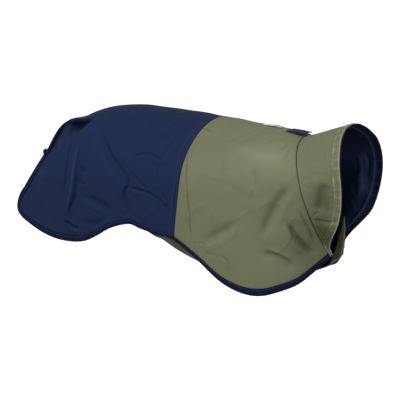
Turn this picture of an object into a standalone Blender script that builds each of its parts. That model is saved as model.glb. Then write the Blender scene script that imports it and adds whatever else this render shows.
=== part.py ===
"""Dog rain jacket, size medium, filled out as it is worn, with nothing inside it.

Metres, +Z up. +X runs along the back towards the neck, -Y is the dog's right side.
The origin lies at the withers, on the inner face of the back, where the wearer carries it.
The tables are in millimetres, one row for each section, and MM turns them into metres.
"""

import math
from collections import namedtuple

import bpy
import numpy as np

MM = 0.001

# The tables measure z from the highest point of the back, and the origin lies below it.
ORIGIN_Z = -7.4

# Cloth and trim
CLOTH = 1.4
LINING = 1.0
BINDING = 1.0
BINDING_WIDTH = 9.0
END_CLEARANCE = 0.06
SEAM_GAP = 0.3
BINDING_GAP = 0.45

# Counts of cells in each cloth grid, for one side of the garment
REAR_COLUMNS = 30
REAR_ROWS = 13
FRONT_COLUMNS = 13
FRONT_ROWS = 13
COLLAR_COLUMNS = 5
BELLY_COLUMNS = 17
BELLY_ROWS = 7
TONGUE_COLUMNS = 3
TONGUE_ROWS = 6

# Rough lengths of the cloths' sides, for a last cell as wide as the binding
REAR_SPINE_LENGTH = 295.0
REAR_HEM_LENGTH = 400.0
REAR_SEAM_GIRTH = 290.0
REAR_EDGE_GIRTH = 150.0
FRONT_GIRTH = 270.0
LEVEL_LENGTH = 100.0

# Shares of the folds at the edge, one cell in and two cells in, so that it keeps its line
CALM_HEM = (0.0, 0.1, 0.6)

COLOUR_SEAM_X = 35.0
NECK_SEAM_X = 189.0

# Sections of the back, from the rump to the neck seam. Each is an arch from the spine
# to the widest level, then a flank down to the hem. The two dx columns lean it forward.
Section = namedtuple("Section", "spine_x spine_z wide_y wide_z wide_dx hem_y hem_z hem_dx")
BACK = [
    Section(-340, -98, 66, -150, 0, 70, -228, 0),
    Section(-290, -58.5, 76, -142, 0, 78, -228, 0),
    Section(-255, -36.5, 84, -134, 0, 83, -228, 0),
    Section(-205, -18, 93, -124, -1, 88, -228, 0),
    Section(-155, -4, 100, -117, -2, 93, -228, 0),
    Section(-110, 0, 104, -113, -3, 96, -220, -2),
    Section(-60, -2, 107, -111, -5, 98, -200, -8),
    Section(0, -6, 108, -111, -10, 101, -190, -18),
    Section(35, -10, 108, -112, -12, 102, -193, -24),
    Section(60, -11.5, 108, -112, -5, 101, -218, -10),
    Section(90, -15, 107, -110, 6, 100, -253, 10),
    Section(120, -17.5, 104, -108, 18, 97, -265, 30),
    Section(147, -20, 100, -105, 26, 88, -255, 43),
    Section(165, -23, 96, -102, 30, 68, -242, 51),
    Section(177, -25.5, 92, -100, 32, 47, -226, 54),
    Section(189, -28, 87, -98, 33, 22, -210, 55),
]

# Level on a section: 0 is the spine, 1 the widest line and 2 the foot of the section.
# The rear edge runs from the spine past the loop tab to the rear corner of the flank.
RearEdge = namedtuple("RearEdge", "level spine_x")
REAR_EDGE = [
    RearEdge(0.0, -256),
    RearEdge(0.25, -254),
    RearEdge(0.45, -253),
    RearEdge(0.60, -256.5),
    RearEdge(0.70, -267),
    RearEdge(0.84, -284),
    RearEdge(1.00, -302),
    RearEdge(1.14, -313.5),
    RearEdge(1.27, -319.5),
    RearEdge(1.43, -323),
]

# The hem of the rear cloth, from the colour seam to the rear corner of the flank.
RearHem = namedtuple("RearHem", "spine_x level")
REAR_HEM = [
    RearHem(COLOUR_SEAM_X - SEAM_GAP, 2.0),
    RearHem(8, 2.0),
    RearHem(-15, 1.95),
    RearHem(-45, 1.83),
    RearHem(-62, 1.74),
    RearHem(-78, 1.71),
    RearHem(-109, 1.715),
    RearHem(-140, 1.82),
    RearHem(-171, 1.92),
    RearHem(-202, 1.965),
    RearHem(-234, 1.95),
    RearHem(-264, 1.875),
    RearHem(-292, 1.75),
    RearHem(-310, 1.62),
    RearHem(-323, 1.43),
]

# The mouth of the collar, from the spine round one side to the foot of the throat notch.
Rim = namedtuple("Rim", "x y z")
COLLAR_RIM = [
    Rim(265.5, 0, -4),
    Rim(266.5, 27, -7.5),
    Rim(271, 52.5, -18.5),
    Rim(277.5, 73.5, -37),
    Rim(281.5, 82, -58.5),
    Rim(284, 82, -80),
    Rim(284, 78, -100),
    Rim(281, 72, -125),
    Rim(273.5, 66, -150),
    Rim(261.5, 53, -168.5),
    Rim(252, 39.5, -182),
    Rim(246.5, 29, -194),
    Rim(248, 23, -205),
]

# Sections of the belly panel, a sling from the throat back between the forelegs.
Sling = namedtuple("Sling", "x bottom_z half_width side_rise")
BELLY = [
    Sling(248, -216, 19, 2.0),
    Sling(242, -224, 21, 2.0),
    Sling(222, -235, 27, 2.5),
    Sling(185, -246, 33, 4),
    Sling(130, -255, 38, 7),
    Sling(75, -258, 50, 14),
    Sling(40, -254.5, 66, 30),
    Sling(12, -247, 82, 48),
    Sling(-12, -236, 89, 46),
    Sling(-32, -223, 91, 38),
    Sling(-51, -211, 91.5, 28),
]
BELLY_SIDE_POWER = 2.6

# The tongue that stands in the throat notch, from its foot to its tip.
Tongue = namedtuple("Tongue", "z middle_x side_x half_width")
TONGUE = [
    Tongue(-212.83, 252.0, 247.0, 22.5),
    Tongue(-196, 254.5, 250.5, 16.0),
    Tongue(-180, 256, 253.5, 11.5),
    Tongue(-163, 256.5, 255.5, 6.5),
    Tongue(-149, 256, 255.8, 2.2),
]

# Folds, as seen from the side: the crease runs from one end to the other with a bow,
# and pushes the cloth out (depth above 0) or in. side is -1, 1 or 0 for both.
Fold = namedtuple("Fold", "side x0 z0 x1 z1 bow half_width depth")
FOLDS = [
    Fold(0, -198, -33, -240, -64, 9, 14, -7),
    Fold(0, -197, -46, -210, -196, -15, 11, 4.5),
    Fold(0, -176, -92, -198, -186, -8, 10, -3.5),
    Fold(-1, -155, -34, -70, -110, 4, 13, -4),
    Fold(-1, -70, -112, -75, -170, 4, 11, -3),
    Fold(-1, -159, -144, -98, -168, 3, 13, -3),
    Fold(-1, -40, -118, 6, -146, 3, 12, -2.5),
    Fold(1, -148, -40, -78, -118, -5, 14, -4),
    Fold(1, -80, -122, -88, -168, -4, 11, -2.5),
    Fold(1, -150, -152, -104, -160, 4, 13, -3),
    Fold(1, -48, -104, -8, -140, -3, 13, -2.5),
    Fold(0, 68, -194, 112, -165, 3, 14, -3.5),
    Fold(-1, 192, -94, 178, -155, -3, 17, -4.5),
    Fold(1, 186, -90, 170, -148, -4, 18, -4),
    Fold(0, 205, -150, 231, -193, -4, 12, -4.5),
    Fold(0, 168, -194, 210, -218, -3, 12, -4),
    Fold(0, 257, -90, 254, -130, 4, 18, -5),
    Fold(0, 238, -146, 276, -139, 0, 9, -2.5),
]

TAB_START_X = 161.0
TAB_END_X = 192.5
TAB_WIDTH = 26.0
TAB_THICKNESS = 1.6
TAB_ARCH = 1.5
TAB_END_RISE = 3.5
LABEL_LENGTH = 30.0
LABEL_WIDTH = 12.0
LABEL_THICKNESS = 0.8
LABEL_X = 116.0
LABEL_Y = -2.0
PATCH_CELLS = 4
LOOP_TAB_ROW = 6
LOOP_TAB_LENGTH = 7.0
LOOP_TAB_WIDTH = 8.0
LOOP_TAB_CLEARANCE = 1.1
LOOP_TAB_THICKNESS = 2.4


def curve_through(rows, at):
    """Reads a smooth curve through table rows, whose first column is the parameter."""
    table = np.array(rows, float)
    knots, values = table[:, 0], table[:, 1:]
    last = len(knots) - 1
    at = min(max(at, knots[0]), knots[-1])
    low = min(max(int(np.searchsorted(knots, at)) - 1, 0), last - 1)
    spans = np.diff(knots)
    rises = np.diff(values, axis=0) / spans[:, None]

    def slope(knot):
        if knot in (0, last):
            return rises[0] if knot == 0 else rises[-1]
        before, after = spans[knot - 1], spans[knot]
        return (rises[knot - 1] * after + rises[knot] * before) / (before + after)

    span = spans[low]
    part = (at - knots[low]) / span
    ease = part * part * (3 - 2 * part)
    return (
        (1 - ease) * values[low]
        + ease * values[low + 1]
        + part * (1 - part) ** 2 * span * slope(low)
        - part**2 * (1 - part) * span * slope(low + 1)
    )


def by_length(rows):
    """Puts the distance run along the rows in front of each, as its parameter."""
    points = np.array(rows, float)
    steps = np.linalg.norm(np.diff(points, axis=0), axis=1)
    return np.column_stack([np.concatenate([[0], np.cumsum(steps)]), points])


def unit(vector):
    return vector / np.linalg.norm(vector)


def back_point(spine_x, level, side):
    """A point of the outer face of the back, before its folds."""
    row = Section(spine_x, *curve_through(BACK, spine_x))
    lean = row.hem_dx / 2
    if level <= 1:
        turn = level * math.pi / 2
        y = row.wide_y * math.sin(turn)
        z = row.spine_z - (row.spine_z - row.wide_z) * (1 - math.cos(turn))
        dx = (3 * row.wide_dx - lean) * level**2 + (lean - 2 * row.wide_dx) * level**3
    else:
        drop = level - 1
        y = row.wide_y - (row.wide_y - row.hem_y) * drop**1.5
        z = row.wide_z - (row.wide_z - row.hem_z) * drop
        dx = row.wide_dx + lean * drop + (row.hem_dx - row.wide_dx - lean) * drop**2
    return np.array([spine_x + dx, side * y, z])


def fold_push(point):
    """How far the folds move this point of the cloth outwards, in millimetres."""
    push = 0.0
    for fold in FOLDS:
        if fold.side * point[1] < 0:
            continue
        start = np.array([fold.x0, fold.z0])
        run = np.array([fold.x1, fold.z1]) - start
        length = np.linalg.norm(run)
        along = float(np.dot(point[[0, 2]] - start, run)) / length**2
        if not -0.2 < along < 1.2:
            continue
        across = (point[0] - fold.x0) * run[1] - (point[2] - fold.z0) * run[0]
        across = across / length - fold.bow * math.sin(math.pi * min(max(along, 0), 1))
        taper = min(1.0, (along + 0.2) / 0.35, (1.2 - along) / 0.35)
        push += fold.depth * taper * math.exp(-((across / fold.half_width) ** 2))
    return push


def grid_normals(grid, outward):
    """Unit normals of a grid of points, on the side that outward gives for its middle."""
    down = np.gradient(grid, axis=0)
    over = np.gradient(grid, axis=1)
    normals = np.cross(down, over)
    normals /= np.linalg.norm(normals, axis=2, keepdims=True)
    middle = normals[grid.shape[0] // 2, grid.shape[1] // 2]
    return normals if np.dot(middle, outward) > 0 else -normals


def calm(count, at_start, at_end):
    """Shares of the folds that are left near a bound edge, which keeps its line."""
    shares = np.ones(count)
    if at_start:
        shares[:3] = CALM_HEM
    if at_end:
        shares[-3:] = CALM_HEM[::-1]
    return shares


def folded(grid, outward, bound_end=False):
    """The grid with its points pushed along its normals by the folds."""
    normals = grid_normals(grid, outward)
    pushes = np.array([[fold_push(point) for point in row] for row in grid])
    pushes *= calm(grid.shape[0], True, True)[:, None] * calm(grid.shape[1], False, bound_end)
    return grid + normals * pushes[:, :, None]


def steps_with_hem(cells, length):
    """Shares from 0 to 1 whose last cell is as wide as the binding."""
    return np.append(np.linspace(0.0, 1 - BINDING_WIDTH / length, cells), 1.0)


def even_path(rows, count_shares):
    """Points at shares of the length of a smooth curve through the rows."""
    table = by_length(rows)
    return np.array([curve_through(table, share * table[-1, 0]) for share in count_shares])


def mirrored_rows(half):
    """Joins rows for side +1, in reverse order, to those of side -1 at the shared spine."""
    near, far = half(-1), half(1)
    return np.concatenate([far[::-1], near[1:]])


def rear_surface(back, down, hem):
    """Where a share of the way back and down lies, as a place on the spine and a level."""
    start = REAR_HEM[0].spine_x
    tail, corner = REAR_EDGE[0].spine_x, REAR_EDGE[-1]
    seam_point = np.array([start, 2 * down])
    level = corner.level * down
    edge_point = np.array([curve_through(REAR_EDGE, level)[0], level])
    spine_point = np.array([start + back * (tail - start), 0.0])
    hem_point = curve_through(hem, back * hem[-1, 0]) / [1, LEVEL_LENGTH]
    return (
        (1 - back) * seam_point
        + back * edge_point
        + (1 - down) * spine_point
        + down * hem_point
        - (1 - back) * (1 - down) * np.array([start, 0.0])
        - back * (1 - down) * np.array([tail, 0.0])
        - (1 - back) * down * np.array([start, 2.0])
        - back * down * np.array([corner.spine_x, corner.level])
    )


def rear_half(side):
    """Rows from the spine down to the hem, columns from the colour seam to the rear edge."""
    hem = by_length([(row.spine_x, row.level * LEVEL_LENGTH) for row in REAR_HEM])
    at_seam = steps_with_hem(REAR_ROWS, REAR_SEAM_GIRTH)
    at_edge = steps_with_hem(REAR_ROWS, REAR_EDGE_GIRTH)
    at_spine = steps_with_hem(REAR_COLUMNS, REAR_SPINE_LENGTH)
    at_hem = steps_with_hem(REAR_COLUMNS, REAR_HEM_LENGTH)
    grid = []
    for seam_share, edge_share in zip(at_seam, at_edge):
        turn = edge_share - seam_share
        line = []
        for spine_share, hem_share in zip(at_spine, at_hem):
            lean = hem_share - spine_share
            back = (spine_share + seam_share * lean) / (1 - turn * lean)
            down = seam_share + back * turn
            line.append(back_point(*rear_surface(back, down, hem), side))
        grid.append(line)
    return np.array(grid)


def front_half(side):
    """Rows from the spine down to the hem, columns from the colour seam to the neck seam."""
    rows = steps_with_hem(FRONT_ROWS, FRONT_GIRTH)
    columns = np.linspace(COLOUR_SEAM_X, NECK_SEAM_X, FRONT_COLUMNS + 1)
    return np.array([[back_point(x, 2 * row, side) for x in columns] for row in rows])


def collar_grid(neck):
    """Rows round the neck seam, whose points are given, columns from the seam to the rim."""
    half = steps_with_hem(FRONT_ROWS, FRONT_GIRTH)
    rim = np.concatenate(
        [even_path(COLLAR_RIM, half)[::-1], even_path(COLLAR_RIM, half)[1:] * [1, -1, 1]]
    )
    starts = neck + 2 * SEAM_GAP * (rim - neck) / np.linalg.norm(rim - neck, axis=1)[:, None]
    shares = np.linspace(0, 1, COLLAR_COLUMNS + 1)
    return starts[:, None] + (rim - starts)[:, None] * shares[None, :, None]


def belly_grid():
    """Rows from one side to the other, columns from the throat to the rear edge."""
    grid = []
    lengths = by_length([(row.x, row.bottom_z) for row in BELLY])[:, 0]
    table = np.column_stack([lengths, np.array(BELLY, float)])
    columns = steps_with_hem(BELLY_COLUMNS, lengths[-1]) * lengths[-1]
    for row in np.linspace(-1, 1, 2 * BELLY_ROWS + 1):
        line = []
        for at in columns:
            sling = Sling(*curve_through(table, at))
            rise = sling.side_rise * abs(row) ** BELLY_SIDE_POWER
            line.append((sling.x, row * sling.half_width, sling.bottom_z + rise))
        grid.append(line)
    return np.array(grid)


def tongue_grid():
    """Rows from the foot to the tip, columns from side to side."""
    grid = []
    for z in np.linspace(TONGUE[0].z, TONGUE[-1].z, TONGUE_ROWS + 1):
        row = Tongue(z, *curve_through(TONGUE, z))
        shares = np.linspace(-1, 1, 2 * TONGUE_COLUMNS + 1)
        grid.append(
            [
                (row.side_x + (row.middle_x - row.side_x) * (1 - s * s), row.half_width * s, z)
                for s in shares
            ]
        )
    return np.array(grid)


def volume(points, faces):
    """Six times the signed volume inside closed faces: above 0 where they point outwards."""
    total = 0.0
    for face in faces:
        first = points[face[0]]
        for second, third in zip(face[1:], face[2:]):
            total += float(np.dot(first, np.cross(points[second], points[third])))
    return total


def add_solid(name, points, faces, material):
    """Makes one named object with smooth faces from points in millimetres."""
    if volume(points, faces) < 0:
        faces = [face[::-1] for face in faces]
    mesh = bpy.data.meshes.new(name)
    placed = (np.asarray(points) - [0, 0, ORIGIN_Z]) * MM
    mesh.from_pydata([tuple(point) for point in placed], [], faces)
    mesh.materials.append(material)
    mesh.shade_smooth()
    mesh.set_sharp_from_angle(angle=math.radians(40))
    solid = bpy.data.objects.new(name, mesh)
    bpy.context.collection.objects.link(solid)
    return solid


def crowned(first, second, third, fourth, normal):
    """Whether the diagonal from the first to the third corner lies above the other one."""
    return float(np.dot(first + third - second - fourth, normal)) > 0


def two_triangles(quad, from_first):
    """Splits four corners along the diagonal from the first corner, or from the second."""
    first, second, third, fourth = quad
    if from_first:
        return [(first, second, third), (first, third, fourth)]
    return [(second, third, fourth), (second, fourth, first)]


def wall(name, grid, normals, near, far, material):
    """A cloth wall between two faces, each a distance in from the grid along its normals."""
    rows, columns = grid.shape[:2]
    count = rows * columns
    outer = (grid - normals * near).reshape(-1, 3)
    inner = (grid - normals * far).reshape(-1, 3)
    faces = []
    for r in range(rows - 1):
        for c in range(columns - 1):
            a, b = r * columns + c, (r + 1) * columns + c
            corners = grid[r, c], grid[r + 1, c], grid[r + 1, c + 1], grid[r, c + 1]
            cut = crowned(*corners, normals[r, c] + normals[r + 1, c + 1])
            faces += two_triangles((a, b, b + 1, a + 1), cut)
            under = two_triangles((count + a, count + b, count + b + 1, count + a + 1), cut)
            faces += [triangle[::-1] for triangle in under]
    ring = [c for c in range(columns)]
    ring += [r * columns + columns - 1 for r in range(1, rows)]
    ring += [(rows - 1) * columns + c for c in range(columns - 2, -1, -1)]
    ring += [r * columns for r in range(rows - 2, 0, -1)]
    for here, after in zip(ring, ring[1:] + ring[:1]):
        faces.append((here, after, count + after, count + here))
    return add_solid(name, np.concatenate([outer, inner]), faces, material)


def drawn_in(path):
    """The path with both of its ends a little shorter, clear of the strip that crosses them."""
    ends = path.copy()
    ends[0] += (path[1] - path[0]) * END_CLEARANCE
    ends[-1] += (path[-2] - path[-1]) * END_CLEARANCE
    return ends


def binding(name, edge, row, edge_normals, row_normals, cloth, material):
    """A folded strip round an edge of the cloth: two legs and the fold that joins them."""
    outward = edge - row
    outward /= np.linalg.norm(outward, axis=1, keepdims=True)
    near, far = BINDING_GAP, BINDING_GAP + BINDING
    rings = np.stack(
        [
            row + row_normals * near,
            edge + outward * near + edge_normals * near,
            edge + outward * near - edge_normals * (cloth + near),
            row - row_normals * (cloth + near),
            row - row_normals * (cloth + far),
            edge + outward * far - edge_normals * (cloth + far),
            edge + outward * far + edge_normals * far,
            row + row_normals * far,
        ],
        axis=1,
    )
    count, sides = rings.shape[:2]
    faces = []
    backward = (2, 6)
    for ring in range(count - 1):
        corners = row[ring], edge[ring], edge[ring + 1], row[ring + 1]
        cut = crowned(*corners, edge_normals[ring] + row_normals[ring + 1])
        for side in range(sides):
            after = (side + 1) % sides
            a, b = ring * sides, (ring + 1) * sides
            quad = (a + side, a + after, b + after, b + side)
            faces += two_triangles(quad, cut != (side in backward))
    legs = [(0, 7, 6, 1), (1, 6, 5, 2), (2, 5, 4, 3)]
    last = (count - 1) * sides
    for leg in legs:
        faces.append(leg)
        faces.append(tuple(last + corner for corner in leg[::-1]))
    return add_solid(name, rings.reshape(-1, 3), faces, material)


def hem_paths(grid):
    """The hem of the rear cloth from the loop tab round the corner to the colour seam, and
    the line one cell in from it."""
    tab_row = REAR_ROWS + LOOP_TAB_ROW
    edge = np.concatenate([grid[tab_row:, -1], grid[-1, -2::-1]])
    corner = grid[-2, -2]
    turn = [(grid[-3, -2] + corner) / 2, corner, (grid[-2, -3] + corner) / 2]
    row = np.concatenate([grid[tab_row:-2, -2], turn, grid[-2, -3::-1]])
    return edge, row


def back_patch(low_x, high_x, low_y, high_y, arch, end_rise):
    """Points of a rectangle on the back, with an arch over its length and a lifted end."""
    grid = []
    for y in np.linspace(low_y, high_y, PATCH_CELLS + 1):
        line = []
        for share in np.linspace(0, 1, PATCH_CELLS + 1):
            x = low_x + (high_x - low_x) * share
            widest = curve_through(BACK, x)[1]
            level = math.asin(abs(y) / widest) * 2 / math.pi
            lift = arch * (1 - (2 * share - 1) ** 2) + end_rise * share**2
            line.append(back_point(x, level, 1 if y > 0 else -1) + [0, 0, lift])
        grid.append(line)
    return np.array(grid)


def loop_tab(name, corner, outward, normal, material):
    """The end of the leg loop, a small doubled strip that stands off the hem's corner."""
    across = np.cross(outward, normal)
    start = BINDING_GAP + BINDING + LOOP_TAB_CLEARANCE
    grid = np.array(
        [
            [
                corner
                + outward * (start + LOOP_TAB_LENGTH * share)
                + across * LOOP_TAB_WIDTH * (side - 0.5)
                for side in np.linspace(0, 1, 3)
            ]
            for share in np.linspace(0, 1, 4)
        ]
    )
    normals = np.broadcast_to(normal, grid.shape)
    half = LOOP_TAB_THICKNESS / 2
    wall(name, grid, normals, CLOTH / 2 - half, CLOTH / 2 + half, material)


def paint(name, colour, roughness):
    """A Principled material of one colour."""
    material = bpy.data.materials.new(name)
    material.use_nodes = True
    shader = material.node_tree.nodes["Principled BSDF"]
    shader.inputs["Base Color"].default_value = (*colour, 1.0)
    shader.inputs["Roughness"].default_value = roughness
    shader.inputs["Metallic"].default_value = 0.0
    material.diffuse_color = (*colour, 1.0)
    return material


def clear_scene():
    for thing in list(bpy.data.objects):
        bpy.data.objects.remove(thing, do_unlink=True)


def build():
    clear_scene()
    navy = paint("navy_cloth", (0.018, 0.028, 0.068), 0.6)
    olive = paint("olive_cloth", (0.147, 0.153, 0.092), 0.6)
    trim = paint("navy_trim", (0.010, 0.014, 0.050), 0.7)
    cream = paint("cream_label", (0.62, 0.57, 0.48), 0.7)
    up = np.array([0.0, 0.0, 1.0])
    down = -up

    rear = folded(mirrored_rows(rear_half), up, bound_end=True)
    rear_normals = grid_normals(rear, up)
    wall("rear_back", rear, rear_normals, 0, CLOTH, navy)

    front = folded(mirrored_rows(front_half), up)
    front_normals = grid_normals(front, up)
    wall("front_back", front, front_normals, 0, CLOTH, olive)

    collar = folded(collar_grid(front[:, -1]), up)
    collar_normals = grid_normals(collar, up)
    wall("collar", collar, collar_normals, 0, CLOTH, olive)
    lining_start = CLOTH + SEAM_GAP
    wall("collar_lining", collar, collar_normals, lining_start, lining_start + LINING, navy)

    belly = belly_grid()
    belly_normals = grid_normals(belly, down)
    wall("belly_panel", belly, belly_normals, 0, CLOTH, olive)

    tongue = tongue_grid()
    wall("throat_tongue", tongue, grid_normals(tongue, np.array([1.0, 0, 0])), 0, CLOTH, olive)

    tab_rows = slice(REAR_ROWS - LOOP_TAB_ROW, REAR_ROWS + LOOP_TAB_ROW + 1)
    rear_paths = (rear[:, -1], rear[:, -2], rear_normals[:, -1], rear_normals[:, -2])
    rear_paths = [drawn_in(path[tab_rows]) for path in rear_paths]
    binding("rear_edge_binding", *rear_paths, CLOTH, trim)
    for side, order in (("right", 1), ("left", -1)):
        edge, row = hem_paths(rear[::order])
        edge_out, row_out = hem_paths(rear_normals[::order])
        edge = np.concatenate([edge, front[::order][-1]])
        row = np.concatenate([row, front[::order][-2]])
        edge_out = np.concatenate([edge_out, front_normals[::order][-1]])
        row_out = np.concatenate([row_out, front_normals[::order][-2]])
        binding(f"hem_binding_{side}", edge, row, edge_out, row_out, CLOTH, trim)
    binding(
        "belly_binding",
        belly[:, -1],
        belly[:, -2],
        belly_normals[:, -1],
        belly_normals[:, -2],
        CLOTH,
        trim,
    )

    half = TAB_WIDTH / 2
    tab = back_patch(TAB_START_X, TAB_END_X, -half, half, TAB_ARCH, TAB_END_RISE)
    wall("back_tab", tab, grid_normals(tab, up), -SEAM_GAP - TAB_THICKNESS, -SEAM_GAP, trim)
    label = back_patch(LABEL_X, LABEL_X + LABEL_LENGTH, LABEL_Y, LABEL_Y + LABEL_WIDTH, 0, 0)
    wall("label", label, grid_normals(label, up), -SEAM_GAP - LABEL_THICKNESS, -SEAM_GAP, cream)

    for side, row in (("right", tab_rows.stop - 1), ("left", tab_rows.start)):
        corner = rear[row, -1]
        outward = unit(corner - rear[row, -2])
        loop_tab(f"loop_tab_{side}", corner, outward, rear_normals[row, -1], trim)


build()
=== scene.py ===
"""A dog rain jacket, filled out as it is worn: cloth, bindings, stitches, finishes and studio.

Metres, +Z up. +X runs along the back towards the neck and -Y is the side that faces the camera.
The form's tables are in millimetres. They measure z from the highest point of the back, and the
origin lies ORIGIN_Z from there, on the inner face of the cloth.
"""

import logging
import math
from dataclasses import dataclass, field
from enum import Enum
from typing import Callable, Iterable, NamedTuple, Sequence

import bpy
import numpy as np
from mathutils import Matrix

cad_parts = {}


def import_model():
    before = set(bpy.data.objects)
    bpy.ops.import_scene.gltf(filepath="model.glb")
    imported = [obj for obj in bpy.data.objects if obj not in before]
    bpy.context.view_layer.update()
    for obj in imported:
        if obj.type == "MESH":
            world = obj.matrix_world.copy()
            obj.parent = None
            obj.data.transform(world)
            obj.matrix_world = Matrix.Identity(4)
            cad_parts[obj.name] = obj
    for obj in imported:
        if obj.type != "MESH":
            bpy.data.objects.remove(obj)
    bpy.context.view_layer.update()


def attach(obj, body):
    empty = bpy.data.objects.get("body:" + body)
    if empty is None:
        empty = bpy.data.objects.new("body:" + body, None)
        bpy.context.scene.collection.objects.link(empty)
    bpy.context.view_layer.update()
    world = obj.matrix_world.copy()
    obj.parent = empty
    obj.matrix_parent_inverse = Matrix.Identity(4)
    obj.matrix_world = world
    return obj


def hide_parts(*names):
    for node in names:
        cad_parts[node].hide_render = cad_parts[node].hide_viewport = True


log = logging.getLogger("jacket")

MM = 0.001
ORIGIN_Z = -7.4
UP = (0, 0, 1)

Colour = tuple[float, float, float]
# A line on the cloth: its points, and the outward directions there
Line = tuple[np.ndarray, np.ndarray]

# Cloth and tape, in millimetres
CLOTH = 1.4
LINING = 1.0
TAPE = 0.9
TAPE_WIDTH = 9.0
TAPE_GAP = 0.35
SEAM_GAP = 0.15
COLOUR_SEAM_X = 35.0
NECK_SEAM_X = 189.0
LEVEL_LENGTH = 100.0
SEAM_CORD_SINK = 0.65
SEAM_CORD_RADIUS = 0.6
EDGE_STITCH = 2.6

# The groove along a line of stitches, and how folds fade near an edge, in cells of the grid
STITCH_GROOVE = 1.3
EDGE_CALM = 0.08
CALM_START = 2
CALM_CELLS = 9.0

# How far a fold goes on past its ends and how fast it fades there, as shares of its length
FOLD_END = 0.2
FOLD_TAPER = 0.35

# How a crease's cross shape falls, and how far it acts along and off the cloth
STEP_FALL = 2.2
STEP_LIP = 0.25
SPINE_OVERLAP = 4.0
LIFT_LIMIT = 35.0
END_TAPER = 0.22

# How the painted light and shade from the creases darken and lighten the cloth
SKYLIGHT = (-0.26, -0.55, 0.79)
THROUGH_MOUTH = (0.35, -0.75, 0.45)
SHADE_GAIN = 1.7
LIT_SHARE = 0.4
CREST_HEIGHT = 2.4
CREST_SHARE = 0.7
SUNK_DEPTH = 2.5
SUNK_SHARE = 0.30
TUCK_GAIN = 1.6
TUCK_START = 0.25

# The painted shade of the rump on the rear edge: its strength, then the z and the width of its lower
# and upper end
RUMP_SHADE = 0.85
RUMP_SHADE_LOW = (-92.0, 22.0)
RUMP_SHADE_HIGH = (-24.0, 8.0)


class Flank(Enum):
    """A side of the jacket, as the sign of its y."""

    NEAR = -1
    FAR = 1


# ---------------------------------------------------------------- the worn form


class Section(NamedTuple):
    """A cut across the back: an arch to its widest level, then a flank down to its foot."""

    spine_x: float
    spine_z: float
    wide_y: float
    wide_z: float
    wide_dx: float
    hem_y: float
    hem_z: float
    hem_dx: float


BACK = [
    Section(-340, -98, 66, -150, 0, 70, -228, 0),
    Section(-290, -58.5, 76, -142, 0, 78, -228, 0),
    Section(-255, -36.5, 84, -134, 0, 83, -228, 0),
    Section(-205, -18, 93, -124, -1, 88, -228, 0),
    Section(-155, -4, 100, -117, -2, 93, -228, 0),
    Section(-110, 0, 104, -113, -3, 96, -220, -2),
    Section(-60, -2, 107, -111, -5, 98, -200, -8),
    Section(0, -6, 108, -111, -10, 101, -190, -18),
    Section(35, -10, 108, -112, -12, 102, -193, -24),
    Section(60, -11.5, 108, -112, -5, 101, -218, -10),
    Section(90, -15, 107, -110, 6, 100, -253, 10),
    Section(120, -17.5, 104, -108, 18, 97, -265, 30),
    Section(147, -20, 100, -105, 26, 88, -255, 43),
    Section(165, -23, 96, -102, 30, 68, -242, 51),
    Section(177, -25.5, 92, -100, 32, 47, -226, 54),
    Section(189, -28, 87, -98, 33, 22, -210, 55),
]


class RearEdge(NamedTuple):
    """A point of the rear edge: its level, 0 at the spine and 2 at a section's foot."""

    level: float
    spine_x: float


REAR_EDGE = [
    RearEdge(*row)
    for row in (
        (0, -256), (0.25, -254), (0.45, -253), (0.6, -256.5), (0.7, -267), (0.84, -284), (1, -302),
        (1.14, -313.5), (1.27, -319.5), (1.37, -321.8), (1.45, -322),
    )
]


class RearHem(NamedTuple):
    """A point of the rear cloth's hem."""

    spine_x: float
    level: float


REAR_HEM = [
    RearHem(*row)
    for row in (
        (COLOUR_SEAM_X - SEAM_GAP, 2), (8, 2), (-15, 1.95), (-45, 1.83), (-62, 1.74), (-78, 1.71),
        (-109, 1.715), (-140, 1.82), (-171, 1.92), (-202, 1.965), (-234, 1.95), (-264, 1.875),
        (-292, 1.75), (-311, 1.635), (-319.5, 1.54), (-322, 1.45),
    )
]


class Rim(NamedTuple):
    """A point of the collar's mouth, from the spine down to the foot of the throat notch."""

    x: float
    y: float
    z: float


COLLAR_RIM = [
    Rim(*row)
    for row in (
        (265.5, 0, -4), (266.5, 27, -7.5), (271, 52.5, -18.5), (277.5, 73.5, -37),
        (281.5, 82, -58.5), (284, 82, -80), (284, 78, -100), (281, 72, -125), (273.5, 66, -150),
        (261.5, 53, -168.5), (252, 39.5, -182), (246.5, 29, -194), (248, 23, -205),
    )
]


class Sling(NamedTuple):
    """A cut across the belly panel."""

    x: float
    bottom_z: float
    half_width: float
    side_rise: float


BELLY = [
    Sling(248, -216, 19, 2.0),
    Sling(242, -224, 21, 2.0),
    Sling(222, -235, 27, 2.5),
    Sling(185, -246, 33, 4),
    Sling(130, -255, 38, 7),
    Sling(75, -258, 50, 14),
    Sling(40, -254.5, 66, 30),
    Sling(12, -247, 82, 48),
    Sling(-12, -236, 89, 46),
    Sling(-32, -223, 91, 38),
    Sling(-51, -211, 91.5, 28),
]
BELLY_SIDE_POWER = 2.6


class Tongue(NamedTuple):
    """A cut across the tongue in the throat notch."""

    z: float
    middle_x: float
    side_x: float
    half_width: float


TONGUE = [
    Tongue(-212.83, 252.0, 247.0, 22.5),
    Tongue(-196, 254.5, 250.5, 16.0),
    Tongue(-180, 256, 253.5, 11.5),
    Tongue(-163, 256.5, 255.5, 6.5),
    Tongue(-149, 256, 255.8, 2.2),
]


class Fold(NamedTuple):
    """A broad fold in the side view, which pushes the cloth out (depth above 0) or in."""

    side: int
    x0: float
    z0: float
    x1: float
    z1: float
    bow: float
    half_width: float
    depth: float


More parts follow.
